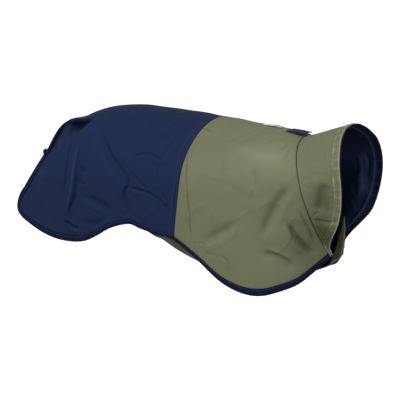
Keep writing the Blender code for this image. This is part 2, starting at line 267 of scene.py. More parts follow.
FOLDS = [
    Fold(0, -198, -33, -240, -64, 9, 14, -7),
    Fold(0, -197, -46, -210, -196, -15, 11, 4.5),
    Fold(0, -176, -92, -198, -186, -8, 10, -3.5),
    Fold(-1, -155, -34, -70, -110, 4, 13, -4),
    Fold(-1, -70, -112, -75, -170, 4, 11, -3),
    Fold(-1, -159, -144, -98, -168, 3, 13, -3),
    Fold(-1, -40, -118, 6, -146, 3, 12, -2.5),
    Fold(1, -148, -40, -78, -118, -5, 14, -4),
    Fold(1, -80, -122, -88, -168, -4, 11, -2.5),
    Fold(1, -150, -152, -104, -160, 4, 13, -3),
    Fold(1, -48, -104, -8, -140, -3, 13, -2.5),
    Fold(0, 68, -194, 112, -165, 3, 14, -3.5),
    Fold(-1, 192, -94, 178, -155, -3, 17, -4.5),
    Fold(1, 186, -90, 170, -148, -4, 18, -4),
    Fold(0, 205, -150, 231, -193, -4, 12, -4.5),
    Fold(0, 168, -194, 210, -218, -3, 12, -4),
    Fold(0, 257, -90, 254, -130, 4, 18, -5),
    Fold(0, 238, -146, 276, -139, 0, 9, -2.5),
]


def smooth_step(share: np.ndarray) -> np.ndarray:
    """A soft ramp from 0 to 1 as the share goes from 0 to 1."""
    share = np.clip(share, 0.0, 1.0)
    return share * share * (3 - 2 * share)


def unit(vectors: np.ndarray) -> np.ndarray:
    """The vectors with a length of one."""
    return vectors / np.maximum(np.linalg.norm(vectors, axis=-1, keepdims=True), 1e-9)


def dot(first: np.ndarray, second: np.ndarray) -> np.ndarray:
    """The dot products along the last axis."""
    return np.sum(first * second, axis=-1)


def bell(distance: np.ndarray, width: float) -> np.ndarray:
    """1 at no distance, and near 0 from two widths on."""
    return np.exp(-((distance / width) ** 2))


def run_along(line: np.ndarray) -> np.ndarray:
    """How far each point lies along a line."""
    return np.concatenate([[0], np.cumsum(np.linalg.norm(np.diff(line, axis=0), axis=1))])


def in_metres(points: np.ndarray) -> np.ndarray:
    """Places of the form's tables, measured from the origin and in metres."""
    return (points - [0.0, 0.0, ORIGIN_Z]) * MM


class SmoothTable:
    """A smooth curve through the rows of a table, read at many places at once."""

    def __init__(self, rows: Sequence[Sequence[float]]) -> None:
        """Keeps the knots and the slope of the curve at each.

        Args:
            rows: table rows, whose first column is the parameter, in rising order.
        """
        table = np.array(rows, float)
        self.knots, self.values = table[:, 0], table[:, 1:]
        self.spans = np.diff(self.knots)
        rises = np.diff(self.values, axis=0) / self.spans[:, None]
        before, after = self.spans[:-1, None], self.spans[1:, None]
        inner = (rises[:-1] * after + rises[1:] * before) / (before + after)
        self.slopes = np.concatenate([rises[:1], inner, rises[-1:]])

    @property
    def length(self) -> float:
        """The last value of the parameter."""
        return float(self.knots[-1])

    def read(self, at: np.ndarray) -> np.ndarray:
        """Reads the curve.

        Args:
            at: parameters, of any shape.

        Returns:
            The values, with one more axis for the table's columns.
        """
        at = np.clip(np.asarray(at, float), self.knots[0], self.knots[-1])
        low = np.clip(np.searchsorted(self.knots, at) - 1, 0, len(self.knots) - 2)
        span = self.spans[low][..., None]
        part = (at - self.knots[low])[..., None] / span
        ease = part * part * (3 - 2 * part)
        return (
            (1 - ease) * self.values[low]
            + ease * self.values[low + 1]
            + part * (1 - part) ** 2 * span * self.slopes[low]
            - part**2 * (1 - part) * span * self.slopes[low + 1]
        )

    @classmethod
    def by_length(cls, points: Sequence[Sequence[float]]) -> "SmoothTable":
        """A curve through points, whose parameter is the distance run along them."""
        places = np.array(points, float)
        return cls(np.column_stack([run_along(places), places]))


class Profile(Enum):
    """The cross shape of a crease."""

    TROUGH = "trough"
    RIDGE = "ridge"
    STEP = "step"
    SEAM = "seam"


TROUGH, RIDGE, STEP, SEAM = Profile
# How dark the painted shade in the low part of a crease is
TUCK_SHARES = {STEP: 1.0, SEAM: 0.38}


@dataclass(frozen=True)
class Crease:
    """A crease that runs along a path on the cloth.

    Attributes:
        path: places of the side view, (x, z).
        half_width: how far the crease reaches to each side.
        depth: how deep or high it is.
        profile: its cross shape. A step falls on the left of its path, as seen from outside.
    """

    path: tuple[tuple[float, float], ...]
    half_width: float
    depth: float
    profile: Profile

    def mirrored(self, shift_x: float, scale: float) -> "Crease":
        """The same crease for the other flank, a little moved and weaker or stronger."""
        return Crease(
            tuple((x + shift_x, z + 0.3 * shift_x) for x, z in self.path),
            self.half_width * (1.0 + (1.0 - scale) * 0.5),
            self.depth * scale,
            self.profile,
        )

    def shape(self, across: np.ndarray) -> np.ndarray:
        """The height of the cross shape at signed distances, for a depth of one."""
        q = across / self.half_width
        hill = np.exp(-(q**2))
        if self.profile is TROUGH:
            return -(1 - 1.1 * q**2) * hill
        if self.profile is RIDGE:
            return (1 - 0.5 * q**2) * hill
        if self.profile is SEAM:
            return -hill
        fall = smooth_step(across / STEP_FALL + 0.5)
        return STEP_LIP * np.exp(-(q**2) * 4) * (1 - fall) - fall * np.exp(-np.maximum(q, 0))

    def line(self, points: np.ndarray, flank: Flank) -> np.ndarray:
        """The path laid on the nearest points of one flank, as a smooth line."""
        knots = []
        for x, z in self.path:
            away = (points[..., 0] - x) ** 2 + (points[..., 2] - z) ** 2
            away = np.where(points[..., 1] * flank.value > 0.0, away, np.inf)
            knots.append(points[np.unravel_index(np.argmin(away), away.shape)])
        table = SmoothTable.by_length(knots)
        return table.read(np.linspace(0, table.length, 6 * len(knots)))

    def push(self, points: np.ndarray, normals: np.ndarray, flank: Flank) -> np.ndarray:
        """How far the crease moves each point along its normal.

        Args:
            points: grid of places on the cloth.
            normals: their outward directions.
            flank: the side that the crease lies on.

        Returns:
            The distances, 0 where the crease does not reach.
        """
        pushes = np.zeros(points.shape[:-1])
        line = self.line(points, flank)
        reach = 4 * self.half_width + 10
        own = points[..., 1] * flank.value > -SPINE_OVERLAP
        own &= np.all(points > line.min(axis=0) - reach, axis=-1)
        own &= np.all(points < line.max(axis=0) + reach, axis=-1)
        near, out = points[own], normals[own]
        best = np.full(len(near), np.inf)
        signed, share = np.zeros(len(near)), np.zeros(len(near))
        for index, (start, end) in enumerate(zip(line[:-1], line[1:])):
            offset = near - start
            lift = dot(offset, out)
            flat = offset - out * lift[:, None]
            run = (end - start) - out * dot(out, end - start)[:, None]
            along = np.clip(dot(flat, run) / np.maximum(dot(run, run), 1e-9), 0, 1)
            off = flat - run * along[:, None]
            distance = np.linalg.norm(off, axis=1) + 1e3 * (np.abs(lift) > LIFT_LIMIT)
            closer = distance < best
            best = np.where(closer, distance, best)
            signed = np.where(closer, distance * np.sign(dot(np.cross(run, off), out)), signed)
            share = np.where(closer, (index + along) / (len(line) - 1), share)
        taper = smooth_step(share / END_TAPER) * smooth_step((1 - share) / END_TAPER)
        pushes[own] = self.depth * taper * self.shape(np.clip(signed, -reach, reach))
        return pushes


def creases(*rows: tuple) -> tuple[Crease, ...]:
    """Creases from rows: profile, half width, depth, then x and z of each place of the path."""
    return tuple(
        Crease(tuple(zip(path[::2], path[1::2])), half_width, depth, profile)
        for profile, half_width, depth, *path in rows
    )


def shaded(points: np.ndarray, patches: Sequence[tuple[float, ...]]) -> np.ndarray:
    """How much painted shade soft patches give each place, painted light where a share is below 0:
    rows of x, z, half sizes and share.
    """
    x, z = points[..., 0], points[..., 2]
    return sum(
        share * np.exp(-(((x - at_x) / wide) ** 2) - ((z - at_z) / high) ** 2)
        for at_x, at_z, wide, high, share in patches
    )


def fold_push(points: np.ndarray) -> np.ndarray:
    """How far the broad folds move each point outwards."""
    x, y, z = points[..., 0], points[..., 1], points[..., 2]
    total = np.zeros(x.shape)
    for fold in FOLDS:
        run = np.array([fold.x1 - fold.x0, fold.z1 - fold.z0])
        length = float(np.linalg.norm(run))
        along = ((x - fold.x0) * run[0] + (z - fold.z0) * run[1]) / length**2
        across = ((x - fold.x0) * run[1] - (z - fold.z0) * run[0]) / length
        across = across - fold.bow * np.sin(np.pi * np.clip(along, 0, 1))
        inside = np.minimum(along + FOLD_END, 1 + FOLD_END - along)
        taper = np.clip(inside / FOLD_TAPER, 0, 1)
        push = fold.depth * taper * bell(across, fold.half_width)
        total += np.where(fold.side * y < 0, 0.0, push)
    return total


def unevenness(points: np.ndarray) -> np.ndarray:
    """The slight unevenness of worn cloth, at places that differ from side to side."""
    x, y, z = points[..., 0], points[..., 1], points[..., 2]
    return (
        0.30 * np.sin(x / 17.0 + 1.3) * np.sin(z / 23.0 + y / 40.0)
        + 0.22 * np.sin(x / 9.5 - z / 14.0 + 0.7)
        + 0.35 * np.sin(x / 41.0 + y / 29.0) * np.sin(z / 37.0 + 2.1)
    )


@dataclass
class Cloth:
    """A grid of places on one face of a sheet of cloth.

    Attributes:
        points: rows and columns of places.
        normals: their outward directions.
        painted_light_and_tone: painted shade towards the finish's deep colour below 0, painted
            highlight towards its lit one above 0; on the label, its second tone.
        painted_shade: how far each lies in painted shade, in tucks, seam grooves and shaded parts.
    """

    points: np.ndarray
    normals: np.ndarray
    painted_light_and_tone: np.ndarray
    painted_shade: np.ndarray | None = None

    @classmethod
    def over(cls, points: np.ndarray, outward: Sequence[float]) -> "Cloth":
        """A smooth sheet over grid points, whose middle faces outward."""
        return cls(points, grid_normals(points, outward), np.zeros(points.shape[:2]))

    def creased(
        self,
        near: Iterable[Crease],
        far: Iterable[Crease],
        calm: np.ndarray,
        folds: bool = True,
    ) -> "Cloth":
        """The sheet with its folds and creases, and the painted light and shade that they give its
        colour.

        Args:
            near: the creases of the side that faces the camera.
            far: those of the hidden side.
            calm: the share of each push that is left at each point.
            folds: whether the broad folds act on it too.
        """
        pushes = unevenness(self.points)
        if folds:
            pushes = pushes + fold_push(self.points)
        fine, painted_shade, crest = (np.zeros(self.points.shape[:2]) for _ in range(3))
        for flank, rows in ((Flank.NEAR, near), (Flank.FAR, far)):
            for crease in rows:
                push = crease.push(self.points, self.normals, flank)
                fine += push
                if crease.profile is RIDGE:
                    crest = np.maximum(crest, push / CREST_HEIGHT)
                # The low side of steps and seam grooves gets painted shade
                if crease.profile in TUCK_SHARES:
                    sunk = np.clip(-push / crease.depth, 0, 1)
                    dark = smooth_step(TUCK_GAIN * sunk - TUCK_START)
                    painted_shade = np.maximum(painted_shade, TUCK_SHARES[crease.profile] * dark)
        middle = self.normals[self.points.shape[0] // 2, self.points.shape[1] // 2]
        broad = grid_normals(self.points + self.normals * (pushes * calm)[..., None], middle)
        points = self.points + self.normals * ((pushes + fine) * calm)[..., None]
        normals = grid_normals(points, middle)
        # Painted light and shade: the fine creases' turn towards a fixed skylight, painted shade in
        # their troughs and painted highlights on their crests
        facing = np.where(self.points[..., 1:2] < 0, 1.0, -1.0)
        skylight = np.where([False, True, False], SKYLIGHT * facing, SKYLIGHT)
        lit = dot(normals - broad, skylight) * SHADE_GAIN
        lit = np.where(lit > 0, LIT_SHARE * lit, lit)
        sunk = np.clip(fine * calm / SUNK_DEPTH, -1, 0)
        crest = CREST_SHARE * np.clip(crest, 0, 1) ** 2
        painted_light_and_tone = np.clip(lit + SUNK_SHARE * sunk + crest, -1, 1)
        return Cloth(points, normals, painted_light_and_tone, painted_shade * calm)

    def moved_out(self, distance: float) -> "Cloth":
        """The sheet moved along its outward directions."""
        return Cloth(self.points + self.normals * distance, self.normals, self.painted_light_and_tone, self.painted_shade)


def grid_normals(points: np.ndarray, outward: Sequence[float]) -> np.ndarray:
    """Directions at right angles to a grid, on the side that outward gives for its middle."""
    normals = unit(np.cross(np.gradient(points, axis=0), np.gradient(points, axis=1)))
    middle = normals[points.shape[0] // 2, points.shape[1] // 2]
    return normals if float(np.dot(middle, np.asarray(outward))) > 0 else -normals


def back_surface(spine_x: np.ndarray, level: np.ndarray, side: int) -> np.ndarray:
    """Places on the outer face of the back, before its folds.

    Args:
        spine_x: where each section stands on the spine.
        level: 0 at the spine, 1 at the widest line and 2 at the section's foot.
        side: the sign of y.
    """
    spine_z, wide_y, wide_z, wide_dx, hem_y, hem_z, hem_dx = np.moveaxis(
        SmoothTable(BACK).read(spine_x), -1, 0
    )
    lean = hem_dx / 2
    turn = np.clip(level, 0, 1) * math.pi / 2
    drop = np.clip(level - 1, 0, None)
    arch_y = wide_y * np.sin(turn)
    arch_z = spine_z - (spine_z - wide_z) * (1 - np.cos(turn))
    arch_dx = (3 * wide_dx - lean) * level**2 + (lean - 2 * wide_dx) * level**3
    flank_y = wide_y - (wide_y - hem_y) * drop**1.5
    flank_z = wide_z - (wide_z - hem_z) * drop
    flank_dx = wide_dx + lean * drop + (hem_dx - wide_dx - lean) * drop**2
    high = level <= 1
    y = np.where(high, arch_y, flank_y)
    x = spine_x + np.where(high, arch_dx, flank_dx)
    return np.stack([x, side * y, np.where(high, arch_z, flank_z)], axis=-1)


def both_sides(near: np.ndarray, far: np.ndarray) -> np.ndarray:
    """Rows of the far side in reverse order, then those of the near side."""
    return np.concatenate([far[::-1], near[1:]])


def shares_with_hem(cells: int, hem_cells: int, hem_share: float) -> np.ndarray:
    """Shares from 0 to 1, whose last few cells together are as wide as the binding."""
    inner = np.linspace(0.0, 1 - hem_share, cells - hem_cells + 1)
    return np.concatenate([inner, np.linspace(1 - hem_share, 1.0, hem_cells + 1)[1:]])


def calm_edges(shape: tuple[int, int], top: bool, bottom: bool, left: bool, right: bool) -> np.ndarray:
    """Shares of the folds that are left near the edges that keep their line."""
    row, column = np.arange(shape[0])[:, None], np.arange(shape[1])[None, :]
    calm = np.ones(shape)
    for wanted, cells in (
        (top, row),
        (bottom, shape[0] - 1 - row),
        (left, column),
        (right, shape[1] - 1 - column),
    ):
        if wanted:
            rise = smooth_step((cells - CALM_START) / CALM_CELLS)
            calm = calm * (EDGE_CALM + (1 - EDGE_CALM) * rise)
    return calm


# ---------------------------------------------------------------- mesh making


def clear_selection() -> None:
    """Leaves every object unselected."""
    if bpy.context.object and bpy.context.object.mode != "OBJECT":
        bpy.ops.object.mode_set(mode="OBJECT")
    bpy.ops.object.select_all(action="DESELECT")


def edit_all() -> None:
    """Opens the active object in edit mode, with all of it selected."""
    bpy.ops.object.mode_set(mode="EDIT")
    bpy.ops.mesh.select_all(action="SELECT")


def add_sheet(name: str, cloth: Cloth, thickness: float, lined: bool = False) -> bpy.types.Object:
    """Makes a closed cloth shell from a grid primitive.

    Args:
        name: the object's name.
        cloth: the grid of its outer face, in millimetres.
        thickness: how far the shell goes inwards from there.
        lined: whether its inner face has a finish of its own, the near-black painted shade of the
            inside.

    Returns:
        The object, with its place in its mesh, a map in metres, and its painted light and shade.
    """
    points = cloth.points
    rows, columns = points.shape[:2]
    clear_selection()
    bpy.ops.mesh.primitive_grid_add(x_subdivisions=columns - 1, y_subdivisions=rows - 1, size=2.0)
    sheet = bpy.context.object
    mesh = sheet.data
    sheet.name = mesh.name = name
    flat = np.empty(len(mesh.vertices) * 3)
    mesh.vertices.foreach_get("co", flat)
    flat = flat.reshape(-1, 3)
    column = np.rint((flat[:, 0] + 1) / 2 * (columns - 1)).astype(int)
    row = np.rint((flat[:, 1] + 1) / 2 * (rows - 1)).astype(int)
    mesh.vertices.foreach_set("co", in_metres(points[row, column]).ravel())
    mesh.update()

    along, round_it = run_along(points[rows // 2]), run_along(points[:, columns // 2])
    corner = np.empty(len(mesh.loops), dtype=np.int32)
    mesh.loops.foreach_get("vertex_index", corner)
    chart = np.stack([along[column[corner]], round_it[row[corner]]], axis=1) * MM
    mesh.uv_layers[0].data.foreach_set("uv", chart.ravel())
    # The painted light and shade, and the label's tone, that the finish reads
    for title, values in (("painted_light_and_tone", cloth.painted_light_and_tone), ("painted_shade", cloth.painted_shade)):
        if values is not None:
            mesh.attributes.new(title, "FLOAT", "POINT").data.foreach_set("value", values[row, column])

    middle = mesh.polygons[(rows // 2) * (columns - 1) + columns // 2]
    if float(np.dot(np.array(middle.normal), cloth.normals[rows // 2, columns // 2])) < 0:
        edit_all()
        bpy.ops.mesh.flip_normals()
        bpy.ops.object.mode_set(mode="OBJECT")
    wall = sheet.modifiers.new("Wall", "SOLIDIFY")
    wall.thickness = thickness * MM
    wall.offset = -1.0
    if lined:
        mesh.materials.append(None)
        mesh.materials.append(None)
        wall.material_offset = 1
    bpy.ops.object.modifier_apply(modifier=wall.name)
    bpy.ops.object.shade_smooth_by_angle(angle=math.radians(55))
    return sheet


def give(piece: bpy.types.Object, finish: "Finish", *nodes: str) -> None:
    """Dresses a piece, and lets it stand for the frame's nodes.

    Args:
        piece: the new object.
        finish: its material.
        nodes: the names of the solids that it replaces.
    """
    slots = piece.data.materials
    if len(slots) == 2:
        # The inner face takes the near-black painted shade of the inside
        slots[0], slots[1] = finish.material(), SHADED_INNER_FACE.material()
    else:
        slots.clear()
        slots.append(finish.material())
    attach(piece, "root")
    if nodes:
        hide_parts(*nodes)
    log.info("%s: %d faces, %s", piece.name, len(piece.data.polygons), finish.name)


# ---------------------------------------------------------------- finishes


def math_node(kind: str, swapped: bool = False) -> Callable[..., "Socket"]:
    """A method that adds a Math node of one kind to a socket and another value."""

    def method(self: "Socket", other: object = 0.0) -> "Socket":
        """The node's result."""
        first, second = (other, self) if swapped else (self, other)
        return self.nodes.add("ShaderNodeMath", {"operation": kind}, {0: first, 1: second})

    return method


class Socket:
    """The output of a shader node, with arithmetic that adds Math nodes."""

    def __init__(self, nodes: "Nodes", output: bpy.types.NodeSocket) -> None:
        """Keeps the node tree's maker and the output."""
        self.nodes = nodes
        self.output = output

    __add__ = __radd__ = math_node("ADD")
    __mul__ = __rmul__ = math_node("MULTIPLY")
    __sub__ = math_node("SUBTRACT")
    __rsub__ = math_node("SUBTRACT", swapped=True)
    __pow__ = math_node("POWER")
    at_least = math_node("MAXIMUM")
    sine = math_node("SINE")

    def part(self, axis: str) -> "Socket":
        """One component of a vector."""
        return self.nodes.add("ShaderNodeSeparateXYZ", {}, {0: self}, axis)


class Nodes:
    """Adds nodes to a material and links them."""

    def __init__(self, material: bpy.types.Material) -> None:
        """Starts from an empty node tree."""
        material.use_nodes = True
        self.tree = material.node_tree
        self.tree.nodes.clear()

    def add(self, kind: str, settings: dict, inputs: dict, output: int | str = 0) -> Socket:
        """Adds a node.

        Args:
            kind: the node's type.
            settings: its own settings, set first.
            inputs: values or links, by the socket's name or number.
            output: the output that is wanted.
        """
        node = self.tree.nodes.new(kind)
        for name, value in settings.items():
            setattr(node, name, value)
        for name, value in inputs.items():
            if isinstance(value, Socket):
                self.tree.links.new(value.output, node.inputs[name])
            else:
                node.inputs[name].default_value = value
        return Socket(self, node.outputs[output])

    def coordinates(self, output: str) -> Socket:
        """Coordinates in metres: Object, or UV for the piece's own map along and across it."""
        return self.add("ShaderNodeTexCoord", {}, {}, output)

    def attribute(self, name: str) -> Socket:
        """A value kept at the points of the mesh."""
        return self.add("ShaderNodeAttribute", {"attribute_name": name}, {}, "Fac")

    def noise(
        self,
        vector: Socket,
        scale: float,
        detail: float,
        rough: float = 0.5,
        stretch: tuple[float, float, float] | None = None,
    ) -> Socket:
        """A soft random pattern from 0 to 1, stretched along the axes if wanted."""
        if stretch:
            vector = self.add("ShaderNodeMapping", {}, {"Vector": vector, "Scale": stretch})
        inputs = {"Vector": vector, "Scale": scale, "Detail": detail, "Roughness": rough}
        return self.add("ShaderNodeTexNoise", {}, inputs)

    def mix(self, factor: object, first: object, second: object) -> Socket:
        """A colour between two."""
        settings = {"data_type": "RGBA"}
        return self.add("ShaderNodeMix", settings, {0: factor, 6: first, 7: second}, 2)

    def bump(self, height: Socket, distance: float, strength: float, normal: Socket | None) -> Socket:
        """A normal from a height in millimetres, on top of another normal."""
        inputs = {"Height": height, "Distance": distance * MM, "Strength": strength}
        if normal:
            inputs["Normal"] = normal
        return self.add("ShaderNodeBump", {}, inputs)

    def finish(self, **inputs: object) -> None:
        """Adds the surface shader, with _ for a space in its sockets' names, and the output."""
        named = {name.replace("_", " "): value for name, value in inputs.items()}
        shader = self.add("ShaderNodeBsdfPrincipled", {}, named, "BSDF")
        node = self.tree.nodes.new("ShaderNodeOutputMaterial")
        self.tree.links.new(shader.output, node.inputs["Surface"])


def rgba(colour: Colour, gain: float = 1.0) -> tuple[float, float, float, float]:
    """A colour with its alpha, made lighter or darker by the gain."""
    red, green, blue = (min(1.0, part * gain) for part in colour)
    return red, green, blue, 1.0


@dataclass(frozen=True)
class Finish:
    """A finish of a cloth or a thread.

    Attributes:
        name: the material's name.
        slot: the record's material slot; nothing in the script reads it.
        colour: its base colour.
        deep: its painted shade colour in the troughs of creases, darkened further in painted shade; on
            the label, its second tone.
        lit: its painted highlight colour on their crests.
        roughness: the middle of its roughness.
        weave: the pitch of its weave, in millimetres.
        rib: whether it has ribs across a tape instead of a plain weave.
        crumple: the height of its fine crumples, in millimetres.
        crinkle: the height of its thin crinkles.
        sheen: the strength of its sheen.
        specular: the strength of its gloss.
        contrast: how far the painted shade and highlights take their own colours.
    """

    name: str
    slot: str
    colour: Colour
    deep: Colour
    lit: Colour
    roughness: float = 0.6
    weave: float = 0.9
    rib: bool = False
    crumple: float = 0.35
    crinkle: float = 0.0
    sheen: float = 0.01
    specular: float = 0.14
    contrast: float = 0.30

    def material(self) -> bpy.types.Material:
        """The material, made once and then shared."""
        made = bpy.data.materials.get(self.name)
        if made:
            return made
        made = bpy.data.materials.new(self.name)
        made.diffuse_color = rgba(self.colour)
        nodes = Nodes(made)
        place, chart = nodes.coordinates("Object"), nodes.coordinates("UV")
        pitch = 2 * math.pi / (self.weave * MM)
        yarn = (chart.part("X") * pitch).sine()
        if not self.rib:
            yarn = yarn * (chart.part("Y") * pitch).sine()
        slub = nodes.noise(chart, 1.0, 1.0, stretch=(260.0, 1900.0, 1.0))
        cloud = nodes.noise(place, 11.0, 3.0, 0.55)
        crumple = nodes.noise(place, 46.0, 2.5, 0.45, (1.0, 1.0, 0.72))
        drift = nodes.noise(place, 17.0, 1.5, 0.4, (1.0, 1.0, 0.8)) * 2.0 - 1.0
        crinkle = (1.0 - (drift * drift) ** 0.5) ** 14.0
        painted_light_and_tone = nodes.attribute("painted_light_and_tone")
        # Painted shade below 0 and painted highlight above 0; on the label, its second tone
        sunk = (painted_light_and_tone * -1.0).at_least(0.0) * self.contrast
        painted_highlight = painted_light_and_tone.at_least(0.0) * self.contrast
        tone = nodes.mix(cloud, rgba(self.colour, 0.90), rgba(self.colour, 1.10))
        tone = nodes.mix(slub * 0.25, tone, rgba(self.colour, 1.22))
        # Painted shade in crease troughs, painted highlights on crests, then near-black painted shade
        # in tucks and shaded parts
        tone = nodes.mix(sunk, tone, rgba(self.deep))
        tone = nodes.mix(painted_highlight, tone, rgba(self.lit))
        tone = nodes.mix(nodes.attribute("painted_shade"), tone, rgba(self.deep, 0.30))
        normal = nodes.bump(yarn + slub * 0.6, 0.05, 0.35, None)
        normal = nodes.bump(crinkle, self.crinkle, 0.7, normal)
        nodes.finish(
            Base_Color=tone,
            Roughness=cloud * 0.10 + (self.roughness - 0.07) + slub * 0.05,
            Normal=nodes.bump(crumple, self.crumple, 0.6, normal),
            Sheen_Weight=self.sheen,
            Sheen_Roughness=0.45,
            Specular_IOR_Level=self.specular,
        )
        return made


NAVY = Finish(
    "navy_shell_cloth", "navy_cloth", (0.0134, 0.0225, 0.0620), (0.0012, 0.0040, 0.020),
    (0.022, 0.064, 0.140), crinkle=2.0, specular=0.02, contrast=0.8,
)
OLIVE = Finish(
    "olive_shell_cloth", "olive_cloth", (0.152, 0.158, 0.091), (0.060, 0.064, 0.026),
    (0.330, 0.336, 0.225), crinkle=1.5, contrast=0.5,
)
# Navy darkened to near black for the inner faces: painted shade of the jacket's inside
SHADED_INNER_FACE = Finish(
    "navy_inner_face_shaded", "navy_cloth", (0.0012, 0.0034, 0.0130), (0.001, 0.002, 0.007),
    (0.004, 0.007, 0.020), 0.8, sheen=0.0, specular=0.0,
)
LINING_CLOTH = Finish(
    "navy_lining_cloth", "navy_cloth", (0.0060, 0.0125, 0.0370), (0.001, 0.003, 0.012),
    (0.040, 0.070, 0.150), 0.55, 0.7, sheen=0.0, specular=0.12, contrast=0.8,
)
TAPE_FINISH = Finish(
    "navy_binding_tape", "navy_trim", (0.0060, 0.0100, 0.0330), (0.003, 0.006, 0.020),
    (0.02, 0.03, 0.07), 0.75, 1.1, True, 0.2, sheen=0.0, specular=0.04,
)
NAVY_TAB = Finish(
    "navy_tab_cloth", "navy_trim", (0.0100, 0.0160, 0.0560), (0.005, 0.009, 0.03),
    (0.03, 0.04, 0.09), 0.6, 0.8, specular=0.12,
)
PIPING = Finish(
    "olive_piping", "olive_cloth", (0.330, 0.335, 0.250), (0.12, 0.12, 0.07),
    (0.27, 0.27, 0.19), 0.6, 0.8, True, 0.1,
)
# Navy thread brighter than the cloth: its own colour, lifted to paint the highlight on the stitched
# ridges
NAVY_THREAD = Finish(
    "navy_thread", "navy_trim", (0.042, 0.066, 0.175), (0.03, 0.045, 0.12),
    (0.06, 0.09, 0.21), 0.5, 0.4, True, 0.0,
)
OLIVE_THREAD = Finish(
    "olive_thread", "olive_cloth", (0.21, 0.215, 0.145), (0.15, 0.15, 0.10),
    (0.3, 0.3, 0.2), 0.5, 0.4, True, 0.0,
)
# Pale thread for the collar's channel, as light as the olive's painted highlight: it also paints the
# broken highlight along the channel
PALE_THREAD = Finish(
    "pale_channel_thread", "olive_cloth", (0.36, 0.36, 0.25), (0.2, 0.2, 0.14),
    (0.4, 0.4, 0.3), 0.5, 0.4, True, 0.0,
)
# The olive darkened for the tongue: painted shade, for the shade of the collar over it
SHADED_OLIVE = Finish(
    "olive_tongue_cloth_shaded", "olive_cloth", (0.098, 0.104, 0.042), (0.030, 0.033, 0.009),
    (0.20, 0.205, 0.12), contrast=0.6,
)
# Dark olive for the neck seam's cord: the seam is real, and its darkness is painted shade of the
# seam's groove
SHADED_SEAM_CORD = Finish(
    "olive_seam_cord_shaded", "olive_cloth", (0.085, 0.090, 0.050), (0.04, 0.04, 0.02),
    (0.1, 0.1, 0.06), 0.7, 0.8, True, 0.1,
)
CREAM = Finish(
    "cream_woven_label", "cream_label", (0.80, 0.77, 0.73), (0.60, 0.40, 0.31),
    (0.9, 0.88, 0.85), 0.6, 0.5, True, 0.1, contrast=1.0,
)


# ---------------------------------------------------------------- lines on cloth


def resampled(values: np.ndarray, count: int) -> np.ndarray:
    """The rows of an array read at a new count of even steps."""
    at = np.linspace(0, len(values) - 1, count)
    low = np.minimum(at.astype(int), len(values) - 2)
    part = (at - low)[:, None]
    return values[low] * (1 - part) + values[low + 1] * part


def even_steps(points: np.ndarray, normals: np.ndarray, pitch: float) -> Line:
    """A line read at steps of one length."""
    run = run_along(points)
    at = np.arange(pitch / 2, run[-1], pitch)
    read = [np.interp(at, run, column) for column in np.concatenate([points, normals], axis=1).T]
    both = np.stack(read, axis=1)
    return both[:, :3], unit(both[:, 3:])


def line_in(cloth: Cloth, distance: float, from_last: bool = False) -> Line:
    """A line along the rows at a distance in from the first column, or from the last."""
    order = -1 if from_last else 1
    line, out = [], []
    for row, normal in zip(cloth.points[:, ::order], cloth.normals[:, ::order]):
        run = run_along(row)
        line.append([np.interp(distance, run, values) for values in row.T])
        out.append([np.interp(distance, run, values) for values in normal.T])
    return np.array(line), unit(np.array(out))


def column_distances(points: np.ndarray) -> tuple[np.ndarray, np.ndarray]:
    """Each point's distance along its row from the first column, and from the last."""
    steps = np.linalg.norm(np.diff(points, axis=1), axis=2)
    run = np.concatenate([np.zeros((len(points), 1)), np.cumsum(steps, axis=1)], axis=1)
    return run, run[:, -1:] - run


def seam_roll(distance: np.ndarray, stitch: float) -> np.ndarray:
    """The height of cloth beside a seam: sunk at the seam, proud, then sunk at its stitches."""
    proud = 0.45 * bell(distance - stitch / 2, stitch / 3)
    return -bell(distance, 1.4) + proud - 0.40 * bell(distance - stitch, STITCH_GROOVE)


@dataclass
class Stitches:
    """A run of thread stitches, copied from one modelled stitch."""

    length: float = 2.3
    pitch: float = 3.3
    radius: float = 0.33

    def template(self) -> tuple[np.ndarray, list[tuple[int, ...]]]:
        """The points and faces of one stitch, along X with its top along Z."""
        clear_selection()
        bpy.ops.mesh.primitive_uv_sphere_add(segments=6, ring_count=4, radius=1.0)
        stitch = bpy.context.object
        edit_all()
        bpy.ops.transform.rotate(value=math.pi / 2, orient_axis="Y", center_override=(0, 0, 0))
        bpy.ops.transform.resize(value=(self.length / 2, self.radius, self.radius))
        bpy.ops.object.mode_set(mode="OBJECT")
        mesh = stitch.data
        points = np.array([tuple(vertex.co) for vertex in mesh.vertices])
        faces = [tuple(face.vertices) for face in mesh.polygons]
        bpy.data.objects.remove(stitch, do_unlink=True)
        bpy.data.meshes.remove(mesh)
        return points, faces

    def sew(self, name: str, lines: list[Line], finish: Finish, lift: float = 0.1) -> None:
        """Sews along lines on the cloth.

        Args:
            name: the object's name.
            lines: where it is sewn.
            finish: the thread's finish.
            lift: how far the thread's middle stands off each line.
        """
        shape, shape_faces = self.template()
        points, faces = [], []
        for line, normals in lines:
            places, out = even_steps(line, normals, self.pitch)
            ahead = unit(np.gradient(places, axis=0))
            across = unit(np.cross(out, ahead))
            for place, *axes in zip(places + out * lift, ahead, across, out):
                start = len(points) * len(shape)
                points.append(place + shape @ np.stack(axes))
                faces += [tuple(start + corner for corner in face) for face in shape_faces]
        mesh = bpy.data.meshes.new(name)
        mesh.from_pydata(in_metres(np.concatenate(points)).tolist(), [], faces)
        thread = bpy.data.objects.new(name, mesh)
        bpy.context.collection.objects.link(thread)
        clear_selection()
        thread.select_set(True)
        bpy.context.view_layer.objects.active = thread
        bpy.ops.object.shade_smooth()
        give(thread, finish)


